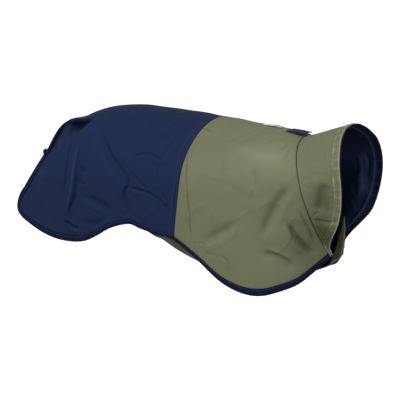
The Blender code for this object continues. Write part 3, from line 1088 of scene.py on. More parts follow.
def add_cord_line(name: str, points: np.ndarray, radius: float, finish: Finish) -> None:
    """A thin round welt along a line, as a closed tube.

    Args:
        name: the object's name.
        points: the line's points, in millimetres.
        radius: the tube's radius.
        finish: its finish.
    """
    clear_selection()
    path = bpy.data.curves.new(name, "CURVE")
    path.dimensions = "3D"
    path.bevel_depth = radius * MM
    path.bevel_resolution = 2
    path.use_fill_caps = True
    spline = path.splines.new("POLY")
    spline.points.add(len(points) - 1)
    placed = np.column_stack([in_metres(points), np.ones(len(points))])
    spline.points.foreach_set("co", placed.ravel())
    curve = bpy.data.objects.new(name, path)
    bpy.context.collection.objects.link(curve)
    curve.select_set(True)
    bpy.context.view_layer.objects.active = curve
    bpy.ops.object.convert(target="MESH")
    welt = bpy.context.object
    welt.name = welt.data.name = name
    bpy.ops.object.shade_smooth()
    give(welt, finish)


# ---------------------------------------------------------------- the cut pieces


REAR_NEAR = creases(
    (STEP, 24, 5.5, -172, -25, -188, -25.5, -205, -25.5, -222, -27, -238, -32, -252, -41),
    (RIDGE, 6.5, 1.5, -247, -52, -240, -60, -230, -70, -222, -84),
    (RIDGE, 15, 0.7, -255, -102, -264, -137, -270, -173),
    (TROUGH, 10, 0.8, -58, -25, -31, -31, -3, -41),
    (TROUGH, 3.2, 2.1, -202, -47, -199, -64, -201, -82, -200, -105, -202, -125, -206, -151),
    (RIDGE, 3, 2.2, -186, -53, -181, -72, -181, -93, -184, -116, -187, -136, -193, -157, -202, -182),
    (TROUGH, 2.6, 1.6, -173, -100, -177, -118, -179, -133, -184, -149, -190, -163, -198, -176),
    (TROUGH, 2.6, 1.9, -175, -93, -165, -99, -155, -100),
    (TROUGH, 2.4, 1.3, -171, -117, -165, -123, -159, -121),
    (TROUGH, 4, 0.8, -174, -39, -159, -54, -151, -71),
    (TROUGH, 3.2, 3.2, -208, -190, -198, -196, -188, -199, -176, -200),
    (RIDGE, 2.6, 1.6, -202, -201, -190, -205, -176, -205),
    (TROUGH, 7, 1.1, -176, -184, -153, -188, -128, -184, -113, -174),
    (TROUGH, 3.4, 1.7, -150, -35, -131, -49, -116, -63, -101, -77, -87, -90, -74, -103, -73, -114, -79,
     -126, -81, -138, -77, -149, -76, -161, -89, -172),
    (TROUGH, 3.2, 1.2, -75, -118, -51, -120, -32, -124, -15, -134, 1, -145, 8, -155),
    (TROUGH, 3, 1.1, -66, -92, -54, -103, -38, -115),
    (TROUGH, 2.4, 1.2, -69, -69, -54, -63, -37, -63, -19, -68, 0, -69),
    (RIDGE, 2.4, 0.8, -37, -67, -17, -72, 1, -75),
    (TROUGH, 3, 0.7, -64, -65, -62, -77, -55, -94),
    (TROUGH, 8, 1.4, -160, -144, -142, -146, -122, -152, -104, -164),
    (RIDGE, 5, 0.9, -167, -150, -143, -161, -120, -167),
    (TROUGH, 2.8, 0.8, -14, -110, -5, -125, 5, -138),
    (TROUGH, 2.8, 0.7, 0, -36, -6, -52, -13, -68),
    (RIDGE, 2.2, 1.9, 21, -67, 20, -94, 16, -118, 11, -146, 7, -175),
)
REAR_FAR = creases(
    (STEP, 17, 6.2, -244, -42, -230, -34, -208, -30, -188, -27, -170, -23),
    (RIDGE, 5.5, 2, -186, -50, -180, -70, -178, -98, -183, -124, -184, -158, -190, -182),
    (TROUGH, 4, 1.8, -198, -52, -192, -80, -193, -120, -192, -150, -197, -182),
    (TROUGH, 5, 1.5, -166, -104, -172, -126, -176, -156),
    (TROUGH, 4, 2.2, -202, -193, -186, -200, -168, -197),
    (RIDGE, 14, 1.4, -250, -96, -260, -132, -266, -176),
    (TROUGH, 6, 2, -148, -36, -118, -62, -94, -88, -84, -112, -88, -140, -82, -164),
    (TROUGH, 5, 1.3, -56, -78, -30, -90, -2, -98),
    (TROUGH, 5, 1.5, -70, -118, -40, -128, -6, -142),
    (TROUGH, 6, 1.8, -164, -150, -130, -158, -96, -162),
    (TROUGH, 10, 0.8, -50, -28, -26, -34, 0, -46),
)
FRONT_NEAR = creases(
    (SEAM, 1.3, 0.5, 30, -46, 32, -65, 37, -87, 40, -117, 43, -149, 44, -177, 46, -196),
    (SEAM, 1.3, 0.5, 23, -22, 37, -23, 56, -26),
    (TROUGH, 3, 0.6, 77, -40, 99, -32, 115, -25, 123, -19),
    (TROUGH, 2.4, 0.7, 111, -38, 123, -34, 132, -27),
    (TROUGH, 2.6, 0.7, 170, -47, 180, -42, 183, -33),
    (TROUGH, 2.6, 0.5, 144, -41, 155, -35, 161, -28),
    (TROUGH, 2.2, 0.6, 188, -59, 191, -48, 189, -37),
    (RIDGE, 14, 1.2, 98, -46, 133, -48, 166, -53, 196, -55),
    (TROUGH, 8, 0.8, 140, -68, 158, -84, 166, -101, 164, -121),
    (TROUGH, 9, 0.6, 98, -84, 122, -102, 142, -111, 160, -113),
    (TROUGH, 9, 2.2, 206, -88, 195, -107, 187, -119, 181, -132, 173, -152, 163, -176),
    (RIDGE, 7, 0.8, 211, -104, 202, -120, 195, -137, 187, -155),
    (TROUGH, 4.5, 5, 203, -146, 212, -164, 220, -178, 227, -191, 234, -202),
    (RIDGE, 5, 1.1, 197, -150, 205, -168, 213, -185, 223, -198),
    (TROUGH, 3, 2.4, 219, -128, 226, -145, 230, -162, 233, -182),
    (RIDGE, 3, 1, 215, -134, 223, -152, 229, -170, 234, -188),
    (TROUGH, 5, 2.6, 165, -196, 184, -200, 199, -208, 210, -222),
    (RIDGE, 4.5, 1.3, 177, -189, 195, -196, 210, -206),
    (TROUGH, 2.8, 1.3, 94, -207, 107, -218, 114, -236),
    (TROUGH, 3, 1, 65, -209, 84, -211, 97, -212),
    (TROUGH, 8, 1.4, 76, -186, 90, -175, 106, -164, 126, -150),
    (RIDGE, 8, 1, 62, -201, 87, -192, 108, -179, 129, -162),
    (TROUGH, 2.6, 1, 43, -195, 56, -193, 72, -197),
)
FRONT_FAR = tuple(crease.mirrored(-5.0, 0.9) for crease in FRONT_NEAR)
COLLAR_NEAR = creases(
    (TROUGH, 9, 2, 262, -81, 255, -99, 250, -115, 240, -132),
    (TROUGH, 7, 1.2, 269, -100, 264, -117, 260, -134),
    (TROUGH, 2.2, 1.9, 229, -145, 244, -144, 258, -144, 276, -140),
    (RIDGE, 3, 0.9, 234, -151, 250, -153, 268, -149),
    (TROUGH, 2.8, 1.5, 229, -142, 237, -135, 247, -128),
    (TROUGH, 2.2, 1.1, 234, -151, 244, -162, 249, -184),
    (TROUGH, 2.2, 0.9, 240, -151, 253, -158, 261, -169),
    (TROUGH, 2, 0.9, 235, -160, 241, -176, 244, -196),
    (TROUGH, 5, 0.6, 229, -56, 243, -49, 261, -45),
    (TROUGH, 4, 0.6, 234, -73, 251, -70, 268, -70),
    (TROUGH, 3, 0.5, 243, -31, 254, -50, 256, -69),
    (TROUGH, 2, 0.9, 217, -88, 227, -90, 235, -92),
    (TROUGH, 2, 0.7, 214, -77, 226, -78, 236, -79),
)
LINING_FAR = creases(
    (RIDGE, 5, 1.2, 242, -59, 247, -78, 250, -99, 249, -122),
    (RIDGE, 4, 1.5, 233, -112, 240, -126, 246, -138),
    (RIDGE, 4, 1.2, 246, -138, 251, -122, 256, -104),
    (RIDGE, 4, 1.2, 230, -128, 240, -142, 250, -152),
    (TROUGH, 4, 0.9, 256, -60, 262, -80, 262, -104),
)
# Soft patches of painted shade: x, z, half sizes and share. The front's first patch, with a share
# below 0, paints a light band over the shoulder
FRONT_SHADES = ((165, -52, 48, 20, -0.50), (218, -182, 20, 26, 0.75))
COLLAR_SHADES = ((245, -60, 60, 70, 0.20), (254, -114, 14, 22, 1.1), (246, -165, 20, 27, 1.9))
COLLAR_FAR = creases(
    (TROUGH, 13, 2.2, 240, -95, 254, -115, 260, -134),
    (TROUGH, 4.5, 2, 236, -150, 256, -148, 274, -142),
    (TROUGH, 8, 1.6, 244, -66, 262, -84, 268, -104),
    (TROUGH, 4, 1.5, 250, -126, 262, -112, 274, -108),
    (TROUGH, 4, 1.2, 246, -170, 256, -158, 266, -154),
)
BELLY_NEAR = creases(
    (TROUGH, 8, 1.6, 150, -254, 110, -256, 70, -258),
    (TROUGH, 8, 1.8, 20, -238, 6, -222, -6, -212),
)
BELLY_FAR = creases(
    (TROUGH, 8, 1.4, 190, -245, 160, -250, 126, -255),
    (TROUGH, 9, 1.8, 36, -246, 20, -232, 4, -214),
)


def edge_shade(points: np.ndarray) -> np.ndarray:
    """How much painted shade the rear edge gets for the shade of the rump, from its height."""
    z = points[..., 2]
    (low, low_width), (high, high_width) = RUMP_SHADE_LOW, RUMP_SHADE_HIGH
    below, above = smooth_step((z - low) / low_width), smooth_step((high - z) / high_width)
    return RUMP_SHADE * below * above


@dataclass
class RearCloth:
    """The navy panel over the rump, with its flanks and the deep tucked fold at its rear, darkened
    with painted shade.
    """

    rows: int = 108
    columns: int = 160
    hem_cells: int = 4
    tab_row: int = 49
    seam_girth: float = 290.0
    edge_girth: float = 150.0
    spine_length: float = 295.0
    hem_length: float = 400.0
    seam_stitch: float = 11.0
    rim_shade: float = 5.0
    cloth: Cloth | None = field(default=None, init=False)

    def half(self, side: int) -> np.ndarray:
        """Rows from the spine to the hem, columns from the colour seam to the rear edge."""
        at_seam, at_edge = (
            shares_with_hem(self.rows, self.hem_cells, TAPE_WIDTH / length)[:, None]
            for length in (self.seam_girth, self.edge_girth)
        )
        at_spine, at_hem = (
            shares_with_hem(self.columns, self.hem_cells, TAPE_WIDTH / length)[None, :]
            for length in (self.spine_length, self.hem_length)
        )
        turn, lean = at_edge - at_seam, at_hem - at_spine
        back = (at_spine + at_seam * lean) / (1 - turn * lean)
        spine_x, level = self.place_of(back, at_seam + back * turn)
        return back_surface(spine_x, level, side)

    @staticmethod
    def place_of(back: np.ndarray, down: np.ndarray) -> tuple[np.ndarray, np.ndarray]:
        """Where shares of the way back and down lie: a place on the spine and a level."""
        start, corner = REAR_HEM[0].spine_x, REAR_EDGE[-1]
        edge_x = SmoothTable(REAR_EDGE).read(corner.level * down)[..., 0]
        table = SmoothTable.by_length([(row.spine_x, row.level * LEVEL_LENGTH) for row in REAR_HEM])
        hem_x, hem_level = np.moveaxis(table.read(back * table.length), -1, 0)
        from_edge = (1 - back) * (1 - down) * start + back * (edge_x - down * corner.spine_x)
        return from_edge + down * hem_x, down * hem_level / LEVEL_LENGTH

    def form(self) -> Cloth:
        """The outer face, with its folds and creases."""
        base = Cloth.over(both_sides(self.half(-1), self.half(1)), UP)
        calm = calm_edges(base.points.shape[:2], True, True, False, True)
        cloth = base.creased(REAR_NEAR, REAR_FAR, calm)
        roll = seam_roll(column_distances(cloth.points)[0], self.seam_stitch)
        points = cloth.points + cloth.normals * roll[..., None]
        from_tape = np.clip(column_distances(points)[1] - TAPE_WIDTH, 0, None)
        # Painted shade along the rear rim, in the shade of the rump
        shade = bell(from_tape, self.rim_shade) * edge_shade(points)
        return Cloth(points, grid_normals(points, UP), cloth.painted_light_and_tone, np.maximum(cloth.painted_shade, shade))

    def build(self) -> None:
        """Makes and dresses the panel."""
        self.cloth = self.form()
        panel = add_sheet("rear_cloth", self.cloth, CLOTH, lined=True)
        give(panel, NAVY, "rear_back")

    def hem_line(self, grid: np.ndarray, cells_in: int) -> np.ndarray:
        """The near hem of a grid, some cells in: from the loop tab round the corner to the seam."""
        rows, columns = grid.shape[:2]
        last = rows - 1 - cells_in
        down = grid[self.rows + self.tab_row : last + 1, columns - 1 - cells_in]
        back = grid[last, columns - 1 - cells_in :: -1]
        down = resampled(down, rows - self.rows - self.tab_row)
        return np.concatenate([down, resampled(back, columns)[1:]])

    def edge_line(self, grid: np.ndarray, cells_in: int) -> np.ndarray:
        """The rear edge between the loop tabs, some cells in."""
        rows = slice(self.rows - self.tab_row, self.rows + self.tab_row + 1)
        return grid[rows, -1 - cells_in]


@dataclass
class FrontCloth:
    """The olive panel over the shoulders and the chest."""

    rows: int = 108
    columns: int = 112
    hem_cells: int = 4
    girth: float = 270.0
    seam_stitch: float = 9.0
    neck_stitch: float = 5.0
    cloth: Cloth | None = field(default=None, init=False)

    @property
    def shares(self) -> np.ndarray:
        """Where the rows lie on each half of the girth."""
        return shares_with_hem(self.rows, self.hem_cells, TAPE_WIDTH / self.girth)

    def form(self) -> Cloth:
        """The outer face, with its folds and creases."""
        spine_x = np.linspace(COLOUR_SEAM_X + SEAM_GAP, NECK_SEAM_X - SEAM_GAP, self.columns + 1)
        level, spine_x = np.broadcast_arrays(2 * self.shares[:, None], spine_x[None, :])
        halves = (back_surface(spine_x, level, side) for side in (-1, 1))
        base = Cloth.over(both_sides(*halves), UP)
        calm = calm_edges(base.points.shape[:2], True, True, False, False)
        cloth = base.creased(FRONT_NEAR, FRONT_FAR, calm)
        from_seam, from_neck = column_distances(cloth.points)
        roll = seam_roll(from_seam, self.seam_stitch) + seam_roll(from_neck, self.neck_stitch)
        points = cloth.points + cloth.normals * roll[..., None]
        # Painted shade in soft patches, and a painted light band over the shoulder
        painted_light_and_tone = np.clip(cloth.painted_light_and_tone - shaded(points, FRONT_SHADES), -1, 1)
        return Cloth(points, grid_normals(points, UP), painted_light_and_tone, cloth.painted_shade)

    def build(self) -> None:
        """Makes and dresses the panel."""
        self.cloth = self.form()
        panel = add_sheet("front_cloth", self.cloth, CLOTH, lined=True)
        give(panel, OLIVE, "front_back")


@dataclass
class Collar:
    """The stand collar: olive outside and navy inside, with a stitched channel at its mouth."""

    columns: int = 56
    neck_lift: float = 0.7
    neck_stitch: float = 4.0
    channel: float = 13.0
    channel_rise: float = 0.7
    groove: float = 0.9
    gather: float = 0.35
    seam_gap: float = 0.1
    tuck_cells: int = 10
    outer_gap: float = 0.25
    front_gap: float = 0.6
    lip: float = 0.8
    far_lip: float = 1.1
    wrinkle: float = 0.25
    seam_sink: float = 0.55
    seam_radius: float = 0.8
    piping_radius: float = 0.62
    piping_inset: float = 0.9
    far_piping_inset: float = 2.6
    cloth: Cloth | None = field(default=None, init=False)
    lining: Cloth | None = field(default=None, init=False)

    def form(self, front: FrontCloth) -> Cloth:
        """The outer face, from its seam with the front panel to the mouth, with painted highlights and
        shade.
        """
        table = SmoothTable.by_length(COLLAR_RIM)
        near = table.read(front.shares * table.length)
        rim = both_sides(near * [1, -1, 1], near)
        neck = front.cloth.points[:, -1] + front.cloth.normals[:, -1] * self.neck_lift
        starts = neck + self.seam_gap * unit(rim - neck)
        along = np.linspace(0, 1, self.columns + 1)[None, :, None]
        base = Cloth.over(starts[:, None] + (rim - starts)[:, None] * along, UP)
        calm = calm_edges(base.points.shape[:2], False, False, True, False)
        cloth = base.creased(COLLAR_NEAR, COLLAR_FAR, calm)
        from_neck, from_rim = column_distances(cloth.points)
        puff = self.channel_rise * np.sin(np.pi * np.clip(from_rim / self.channel, 0, 1))
        groove = -self.groove * bell(from_rim - self.channel, STITCH_GROOVE)
        row = np.arange(len(rim))[:, None]
        gather = self.gather * np.sin(row * 1.9) * (from_rim < self.channel + 6)
        gather = gather * bell(from_rim - self.channel, 4.0)
        push = puff + groove + gather + seam_roll(from_neck, self.neck_stitch)
        points = cloth.points + cloth.normals * push[..., None]
        z = base.points[..., 2]
        # Painted highlights broken along the channel's crest, painted pleat shading, painted
        # highlights along the rim and the low neck seam, and painted shade in patches and the groove
        patches = np.clip(0.55 + 0.75 * np.sin(row * 0.47) * np.sin(row * 0.19 + 0.6), 0.05, 1.2)
        crest = 1.7 * patches * bell(from_rim - self.channel + 2.0, STITCH_GROOVE)
        crest = crest * smooth_step((z + 165) / 25)
        painted_pleat_shading = 0.5 * np.sin(row * 1.8) * np.sin(row * 0.7 + 1.0)
        painted_pleat_shading = painted_pleat_shading * smooth_step((self.channel - from_rim) / 3.0)
        edge = 0.5 * bell(from_rim - 2.0, 1.6)
        ridge = 1.4 * bell(from_neck - 1.6, 1.1) * smooth_step((-z - 128) / 20)
        shade = shaded(base.points, COLLAR_SHADES)
        painted_light_and_tone = cloth.painted_light_and_tone + crest + painted_pleat_shading + edge + ridge - shade + 1.6 * groove / 3
        return Cloth(points, grid_normals(points, UP), np.clip(painted_light_and_tone, -1.6, 2), cloth.painted_shade)

    def build(self, front: FrontCloth) -> None:
        """Makes and dresses the two layers, the piping of the mouth and the neck seam."""
        self.cloth = self.form(front)
        outer = add_sheet("collar_outer", self.cloth, CLOTH)
        give(outer, OLIVE, "collar")
        self.lining = self.inside(front.cloth)
        inner = add_sheet("collar_inner", self.lining, LINING)
        give(inner, LINING_CLOTH, "collar_lining")
        rim, out = line_in(self.cloth, self.piping_inset, True)
        behind, _ = line_in(self.cloth, self.far_piping_inset, True)
        far = smooth_step((rim[:, 1:2] + 6.0) / 30.0)
        rim = rim * (1 - far) + (behind - out * 0.5) * far
        add_cord_line("collar_piping", rim + out * 0.1, self.piping_radius, PIPING)
        seam = front.cloth.points[:, -1] - front.cloth.normals[:, -1] * self.seam_sink
        add_cord_line("neck_seam_cord", seam, self.seam_radius, SHADED_SEAM_CORD)

    def inside(self, front: Cloth) -> Cloth:
        """The lining's outer face, from inside the front panel to a little out of the mouth, with
        painted light and shade.
        """
        below = front.moved_out(-(CLOTH + self.front_gap))
        layer = self.cloth.moved_out(-(CLOTH + self.outer_gap))
        rim = layer.points[:, -1:]
        far = smooth_step((rim[..., 1:2] + 10.0) / 30.0)
        reach = self.lip + (self.far_lip - self.lip) * far
        lip = rim + unit(rim - layer.points[:, -2:-1]) * reach
        lip = lip + layer.normals[:, -1:] * (far * (CLOTH - 0.35))
        start = below.points[:, -1 - self.tuck_cells :]
        points = np.concatenate([start, layer.points[:, 1:], lip], axis=1)
        from_rim = column_distances(points)[1]
        wrinkles = self.wrinkle * np.sin(np.linspace(0, 190, len(points)))[:, None]
        wrinkles = wrinkles * bell(from_rim - self.channel - 4, 6.0)
        normals = grid_normals(points, UP)
        for crease in LINING_FAR:
            wrinkles = wrinkles + crease.push(points, normals, Flank.FAR)
        points = points - normals * wrinkles[..., None]
        turned = grid_normals(points, UP)
        x, y, z = points[..., 0], points[..., 1], points[..., 2]
        row = np.arange(len(points))[:, None]
        # Painted light on the lining: crease shading for light through the mouth, a painted light
        # patch on the far wall, a painted highlight along the channel, painted pleat shading, and
        # painted shade high inside
        lit = dot(normals - turned, unit(np.array(THROUGH_MOUTH))) * SHADE_GAIN
        glow = np.exp(-(((x - 254) / 9) ** 2 + ((z + 96) / 36) ** 2)) * (y > 0)
        line = bell(from_rim - self.channel - 1.0, STITCH_GROOVE) * smooth_step((z + 185) / 30)
        painted_pleat_shading = 0.3 * np.sin(row * 1.3) * np.sin(row * 0.37) * (from_rim < self.channel - 2)
        dark = 0.9 * smooth_step((z + 66) / 24) * (1 - 0.8 * line)
        painted_light_and_tone = np.clip(lit + 0.60 * glow + 0.8 * line + painted_pleat_shading - dark, -1, 1)
        return Cloth(points, turned, painted_light_and_tone)


@dataclass
class BellySling:
    """The olive panel under the chest and belly, from the throat to its bound rear edge."""

    rows: int = 30
    columns: int = 110
    hem_cells: int = 4
    side_shade: float = 0.55
    throat_shade: float = 0.9

    def form(self) -> Cloth:
        """The outer face, with painted shade below the throat and on the near side, for the flank's
        shade.
        """
        lengths = SmoothTable.by_length([(row.x, row.bottom_z) for row in BELLY])
        table = SmoothTable(np.column_stack([lengths.knots, np.array(BELLY, float)]))
        hem = TAPE_WIDTH / table.length
        at = shares_with_hem(self.columns, self.hem_cells, hem) * table.length
        across = np.linspace(-1, 1, 2 * self.rows + 1)[:, None]
        x, bottom_z, half_width, rise = np.moveaxis(table.read(at)[None, :, :], -1, 0)
        z = bottom_z + rise * np.abs(across) ** BELLY_SIDE_POWER
        points = np.stack([x + 0 * across, half_width * across, z], axis=-1)
        base = Cloth.over(points, (0, 0, -1))
        calm = calm_edges(points.shape[:2], True, True, True, True)
        cloth = base.creased(BELLY_NEAR, BELLY_FAR, calm, folds=False)
        # Painted shade on the near side and below the throat
        side = self.side_shade * smooth_step((-across - 0.45) / 0.3)
        throat = self.throat_shade * smooth_step((x - 218) / 10) * smooth_step((-z - 215) / 3)
        painted_shade = np.maximum(cloth.painted_shade, np.maximum(side, throat))
        return Cloth(cloth.points, cloth.normals, cloth.painted_light_and_tone, painted_shade)

    def build(self) -> Cloth:
        """Makes and dresses the panel, and returns its outer face."""
        cloth = self.form()
        panel = add_sheet("belly_cloth", cloth, CLOTH, lined=True)
        give(panel, OLIVE, "belly_panel")
        return cloth


@dataclass
class ThroatTongue:
    """The narrow tongue that stands in the throat notch."""

    rows: int = 40
    columns: int = 14
    crease_depth: float = 1.6

    def build(self) -> None:
        """Makes and dresses the tongue, with the crease down its middle, a painted highlight along it,
        and painted shade beside it and over the near half.
        """
        z = np.linspace(TONGUE[0].z, TONGUE[-1].z, self.rows + 1)[:, None]
        middle_x, side_x, half_width = np.moveaxis(SmoothTable(TONGUE).read(z), -1, 0)
        s = np.linspace(-1, 1, 2 * self.columns + 1)[None, :]
        ridge = self.crease_depth * bell(s + 0.15, 0.22) * (half_width / TONGUE[0].half_width)
        x = side_x + (middle_x - side_x) * (1 - s * s) + ridge
        points = np.stack([x, half_width * s, z + 0 * s], axis=-1)
        cloth = Cloth.over(points, (1, 0, 0))
        # Painted light: a highlight on the crease and shade elsewhere, then painted shade over the
        # near half, in the collar's shade
        cloth.painted_light_and_tone = np.clip(ridge - 0.5, -1, 1)
        cloth.painted_shade = 0.75 * (1 - smooth_step((s + 0.55) / 0.9)) + 0 * z
        tongue = add_sheet("tongue_cloth", cloth, CLOTH)
        give(tongue, SHADED_OLIVE, "throat_tongue")


@dataclass
class EdgeBinding:
    """The tape that is folded round the hems and sewn through."""

    gap: float = TAPE_GAP
    thickness: float = TAPE
    flat_width: float = 2.45 * TAPE_WIDTH
    fold_cells: int = 6
    puff: float = 0.25
    stitch_line: float = 0.72

    def strip(self, name: str, node: str, lines: Sequence[Line]) -> Line:
        """Folds a tape round an edge.

        Args:
            name: the object's name.
            node: the solid that the tape replaces.
            lines: lines of the cloth's outer face, from its edge inwards.

        Returns:
            The line of its stitches on the outer leg.
        """
        over = self.gap + self.thickness
        count = len(lines) - 1
        (edge, facing), (inner, _) = lines[:2]
        leg = [
            points + normals * (over + self.puff * math.sin(math.pi * index / count))
            for index, (points, normals) in enumerate(lines)
        ]
        outward = unit(edge - inner)
        centre = edge - facing * CLOTH / 2
        fold = []
        for step in range(1, self.fold_cells):
            angle = math.pi / 2 - math.pi * step / self.fold_cells
            turn = outward * math.cos(angle) + facing * math.sin(angle)
            fold.append(centre + turn * (over + CLOTH / 2))
        back = [points - normals * (CLOTH + over) for points, normals in lines]
        grid = np.stack(leg[::-1] + fold + back, axis=0)
        row, column = grid.shape[0] // 2, grid.shape[1] // 2
        cloth = Cloth.over(grid, grid[row, column] - centre[column])
        # The rear tape gets the rump's painted shade
        if node == "rear_edge_binding":
            cloth.painted_shade = edge_shade(grid)
        tape = add_sheet(name, cloth, self.thickness)
        give(tape, TAPE_FINISH, node)
        low, part = divmod(count * self.stitch_line, 1)
        (start, start_out), (end, end_out) = lines[int(low) : int(low) + 2]
        out = unit(start_out * (1 - part) + end_out * part)
        return start * (1 - part) + end * part + out * (over + 0.8 * self.puff), out

    def build(self, rear: RearCloth, front: Cloth, belly: Cloth) -> list[Line]:
        """Binds the rear edge, both hems and the belly panel's rear.

        Args:
            rear: the rear panel.
            front: the front panel's outer face.
            belly: the belly panel's outer face.

        Returns:
            The stitch lines.
        """
        cells = range(rear.hem_cells + 1)
        rear_grids = rear.cloth.points, rear.cloth.normals
        grids = list(zip(rear_grids, (front.points, front.normals)))
        edge = [tuple(rear.edge_line(grid, k) for grid in rear_grids) for k in cells]
        sewn = [self.strip("rear_edge_tape", "rear_edge_binding", edge)]
        for side, order in (("right", 1), ("left", -1)):
            hem = [
                tuple(
                    np.concatenate([rear.hem_line(back[::order], k), chest[::order][-1 - k, 1:]])
                    for back, chest in grids
                )
                for k in cells
            ]
            sewn.append(self.strip(f"hem_tape_{side}", f"hem_binding_{side}", hem))
        edge = [(belly.points[:, -1 - k], belly.normals[:, -1 - k]) for k in cells]
        return sewn + [self.strip("belly_tape", "belly_binding", edge)]


@dataclass
class BackPatches:
    """The strip at the neck seam and the plain label behind it, laid on the back."""

    tab_x: tuple[float, float] = (161.0, 192.5)
    tab_y: tuple[float, float] = (-13.0, 13.0)
    tab_thickness: float = 1.6
    tab_arch: float = 1.5
    tab_end_rise: float = 3.5
    label_x: tuple[float, float] = (116.0, 146.0)
    label_y: tuple[float, float] = (-2.0, 10.0)
    label_thickness: float = 0.8
    label_arch: float = 1.2
    label_pale_share: float = 0.6
    cells: int = 18
    gap: float = 0.3

    def lie(
        self,
        x_range: tuple[float, float],
        y_range: tuple[float, float],
        thickness: float,
        arch: float,
        end_rise: float = 0.0,
    ) -> Cloth:
        """The outer face of a patch on the back, with an arch over its length and a lifted end."""
        share = np.linspace(0, 1, self.cells + 1)[None, :]
        x = x_range[0] + (x_range[1] - x_range[0]) * share
        y = np.linspace(*y_range, self.cells + 1)[:, None]
        x, y = np.broadcast_arrays(x, y)
        level = np.arcsin(np.abs(y) / SmoothTable(BACK).read(x)[..., 1]) * 2 / math.pi
        far, near = (back_surface(x, level, side) for side in (1, -1))
        points = np.where((y > 0)[..., None], far, near)
        lift = arch * (1 - (2 * share - 1) ** 2) + end_rise * share**2
        points = points + np.stack([0 * x, 0 * x, lift + 0 * x], axis=-1)
        return Cloth.over(points, UP).moved_out(self.gap + thickness)

    def build(self) -> list[Line]:
        """Makes and dresses the strip and the label, and returns the strip's stitch lines."""
        tab = self.lie(self.tab_x, self.tab_y, self.tab_thickness, self.tab_arch, self.tab_end_rise)
        strip = add_sheet("back_tab_strip", tab, self.tab_thickness)
        give(strip, NAVY_TAB, "back_tab")
        label = self.lie(self.label_x, self.label_y, self.label_thickness, self.label_arch)
        share = np.linspace(0, 1, self.cells + 1)
        # The label's own second tone, through the finish's deep colour
        label.painted_light_and_tone[:] = np.where(share > self.label_pale_share, -1.0, 0.0)
        patch = add_sheet("label_patch", label, self.label_thickness)
        give(patch, CREAM, "label")
        return [(tab.points[:, k], tab.normals[:, k]) for k in (2, -3)] + [
            (tab.points[k], tab.normals[k]) for k in (2, -3)
        ]


@dataclass
class LoopTabs:
    """The short doubled strips at the rear edge, from which the leg loops start."""

    length: float = 7.0
    width: float = 8.0
    thickness: float = 2.4
    stand_off: float = 2.35
    bulge: float = 0.5
    corner_cut: float = 0.8
    cells: int = 8

    def build(self, rear: RearCloth) -> None:
        """Makes and dresses both strips."""
        share = np.linspace(0, 1, self.cells + 1)[:, None, None]
        side = np.linspace(-0.5, 0.5, self.cells + 1)[None, :, None]
        bulge = self.bulge * np.cos(side * math.pi) * np.sin(share * math.pi)
        reach = self.length * share - self.corner_cut * (2 * side) ** 4 * share
        for name, row in (("right", rear.rows + rear.tab_row), ("left", rear.rows - rear.tab_row)):
            corner, normal = rear.cloth.points[row, -1], rear.cloth.normals[row, -1]
            outward = unit(corner - rear.cloth.points[row, -2])
            across = np.cross(outward, normal) * self.width
            rise = self.thickness / 2 - CLOTH / 2 + bulge
            points = corner + outward * (self.stand_off + reach) + across * side + normal * rise
            strip = add_sheet(f"loop_strip_{name}", Cloth.over(points, normal), self.thickness)
            give(strip, TAPE_FINISH, f"loop_tab_{name}")


# ---------------------------------------------------------------- studio


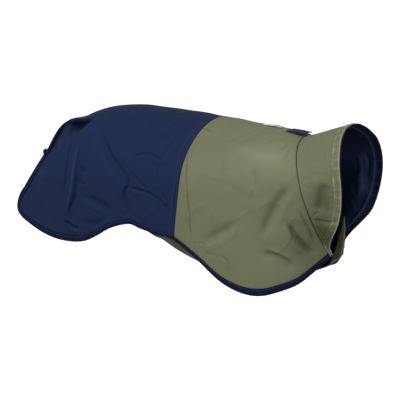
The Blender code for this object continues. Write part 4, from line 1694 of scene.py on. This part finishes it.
@dataclass
class Studio:
    """The camera, the pale floor and the soft lights."""

    aim: tuple[float, float, float] = (0.0, 0.0, -0.1426)
    azimuth: float = 30.0
    elevation: float = 12.0
    distance: float = 2.0
    frame_width: float = 0.656
    sensor: float = 36.0
    floor_size: float = 40.0
    floor_z: float = -0.56
    floor_glow: float = 0.60
    room_glow: float = 0.49

    def camera(self) -> None:
        """Adds the camera at the photograph's angle."""
        turn, rise = math.radians(self.azimuth), math.radians(self.elevation)
        flat = math.cos(rise)
        toward = np.array([math.sin(turn) * flat, -math.cos(turn) * flat, math.sin(rise)])
        bpy.ops.object.camera_add(
            location=tuple(np.array(self.aim) + toward * self.distance),
            rotation=(math.pi / 2 - rise, 0.0, turn),
        )
        camera = bpy.context.object
        camera.data.sensor_width = self.sensor
        camera.data.lens = self.sensor * self.distance / self.frame_width
        camera.data.clip_end = 50
        bpy.context.scene.camera = camera

    def floor(self) -> None:
        """Adds the floor."""
        clear_selection()
        bpy.ops.mesh.primitive_plane_add(size=self.floor_size, location=(0, 0, self.floor_z))
        floor = bpy.context.object
        floor.name = "floor"
        material = bpy.data.materials.new("pale_floor")
        Nodes(material).finish(
            Base_Color=(0.93, 0.93, 0.93, 1),
            Roughness=0.9,
            Specular_IOR_Level=0.1,
            Emission_Color=(1, 1, 1, 1),
            Emission_Strength=self.floor_glow,
        )
        floor.data.materials.append(material)
        floor.visible_diffuse = False
        floor.visible_glossy = False

    def light(self, name: str, place: Sequence[float], size: float, watts: float) -> None:
        """Adds a soft square light that faces the jacket."""
        bpy.ops.object.light_add(type="AREA", location=tuple(place))
        lamp = bpy.context.object
        lamp.name = name
        lamp.data.shape = "SQUARE"
        lamp.data.size = size
        lamp.data.energy = watts
        x, y, z = np.array(place) - np.array(self.aim)
        lamp.rotation_euler = (math.atan2(math.hypot(x, y), z), 0.0, math.atan2(x, -y))

    def build(self) -> None:
        """Sets the whole stage."""
        self.camera()
        self.floor()
        self.light("key_light", (-0.8, -2.5, 1.5), 1.5, 52)
        self.light("top_light", (0.4, -0.2, 2.7), 1.8, 12)
        self.light("fill_light", (2.6, -1.3, 0.5), 1.2, 13)
        world = bpy.data.worlds.new("white_room")
        bpy.context.scene.world = world
        world.use_nodes = True
        background = world.node_tree.nodes["Background"]
        background.inputs["Color"].default_value = (1, 1, 1, 1)
        background.inputs["Strength"].default_value = self.room_glow
        bpy.context.scene.view_settings.view_transform = "Standard"


def sew_all(
    rear: RearCloth, front: FrontCloth, collar: Collar, tapes: list[Line], tab: list[Line]
) -> None:
    """Sews every visible line of stitches.

    Args:
        rear: the rear panel.
        front: the front panel.
        collar: the collar.
        tapes: the stitch lines of the bindings.
        tab: those of the strip at the neck.
    """
    stitches = Stitches()
    back, chest = rear.cloth, front.cloth
    navy = [line_in(back, distance) for distance in (rear.seam_stitch, EDGE_STITCH)]
    stitches.sew("seam_stitches_navy", navy, NAVY_THREAD)
    olive = [line_in(chest, distance) for distance in (front.seam_stitch, EDGE_STITCH)]
    olive.append(line_in(chest, front.neck_stitch, True))
    stitches.sew("seam_stitches_olive", olive, OLIVE_THREAD)
    channel = line_in(collar.cloth, collar.channel, True)
    stitches.sew("channel_stitches", [channel], PALE_THREAD)
    line, out = line_in(collar.lining.moved_out(-LINING), collar.channel, True)
    stitches.sew("lining_stitches", [(line, -out)], NAVY_THREAD)
    stitches.sew("binding_stitches", tapes, NAVY_THREAD, lift=-0.05)
    stitches.sew("tab_stitches", tab, NAVY_THREAD)
    seam = (back.points[:, 0] + chest.points[:, 0]) / 2 - chest.normals[:, 0] * SEAM_CORD_SINK
    add_cord_line("colour_seam_cord", seam, SEAM_CORD_RADIUS, TAPE_FINISH)
    log.info("all the lines are sewn")


def main() -> None:
    """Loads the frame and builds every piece."""
    logging.basicConfig(level=logging.INFO, format="%(message)s")
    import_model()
    Studio().build()
    rear, front, collar = RearCloth(), FrontCloth(), Collar()
    rear.build()
    front.build()
    collar.build(front)
    belly = BellySling().build()
    ThroatTongue().build()
    tapes = EdgeBinding().build(rear, front.cloth, belly)
    tab = BackPatches().build()
    LoopTabs().build(rear)
    sew_all(rear, front, collar, tapes, tab)


if __name__ == "__main__":
    main()
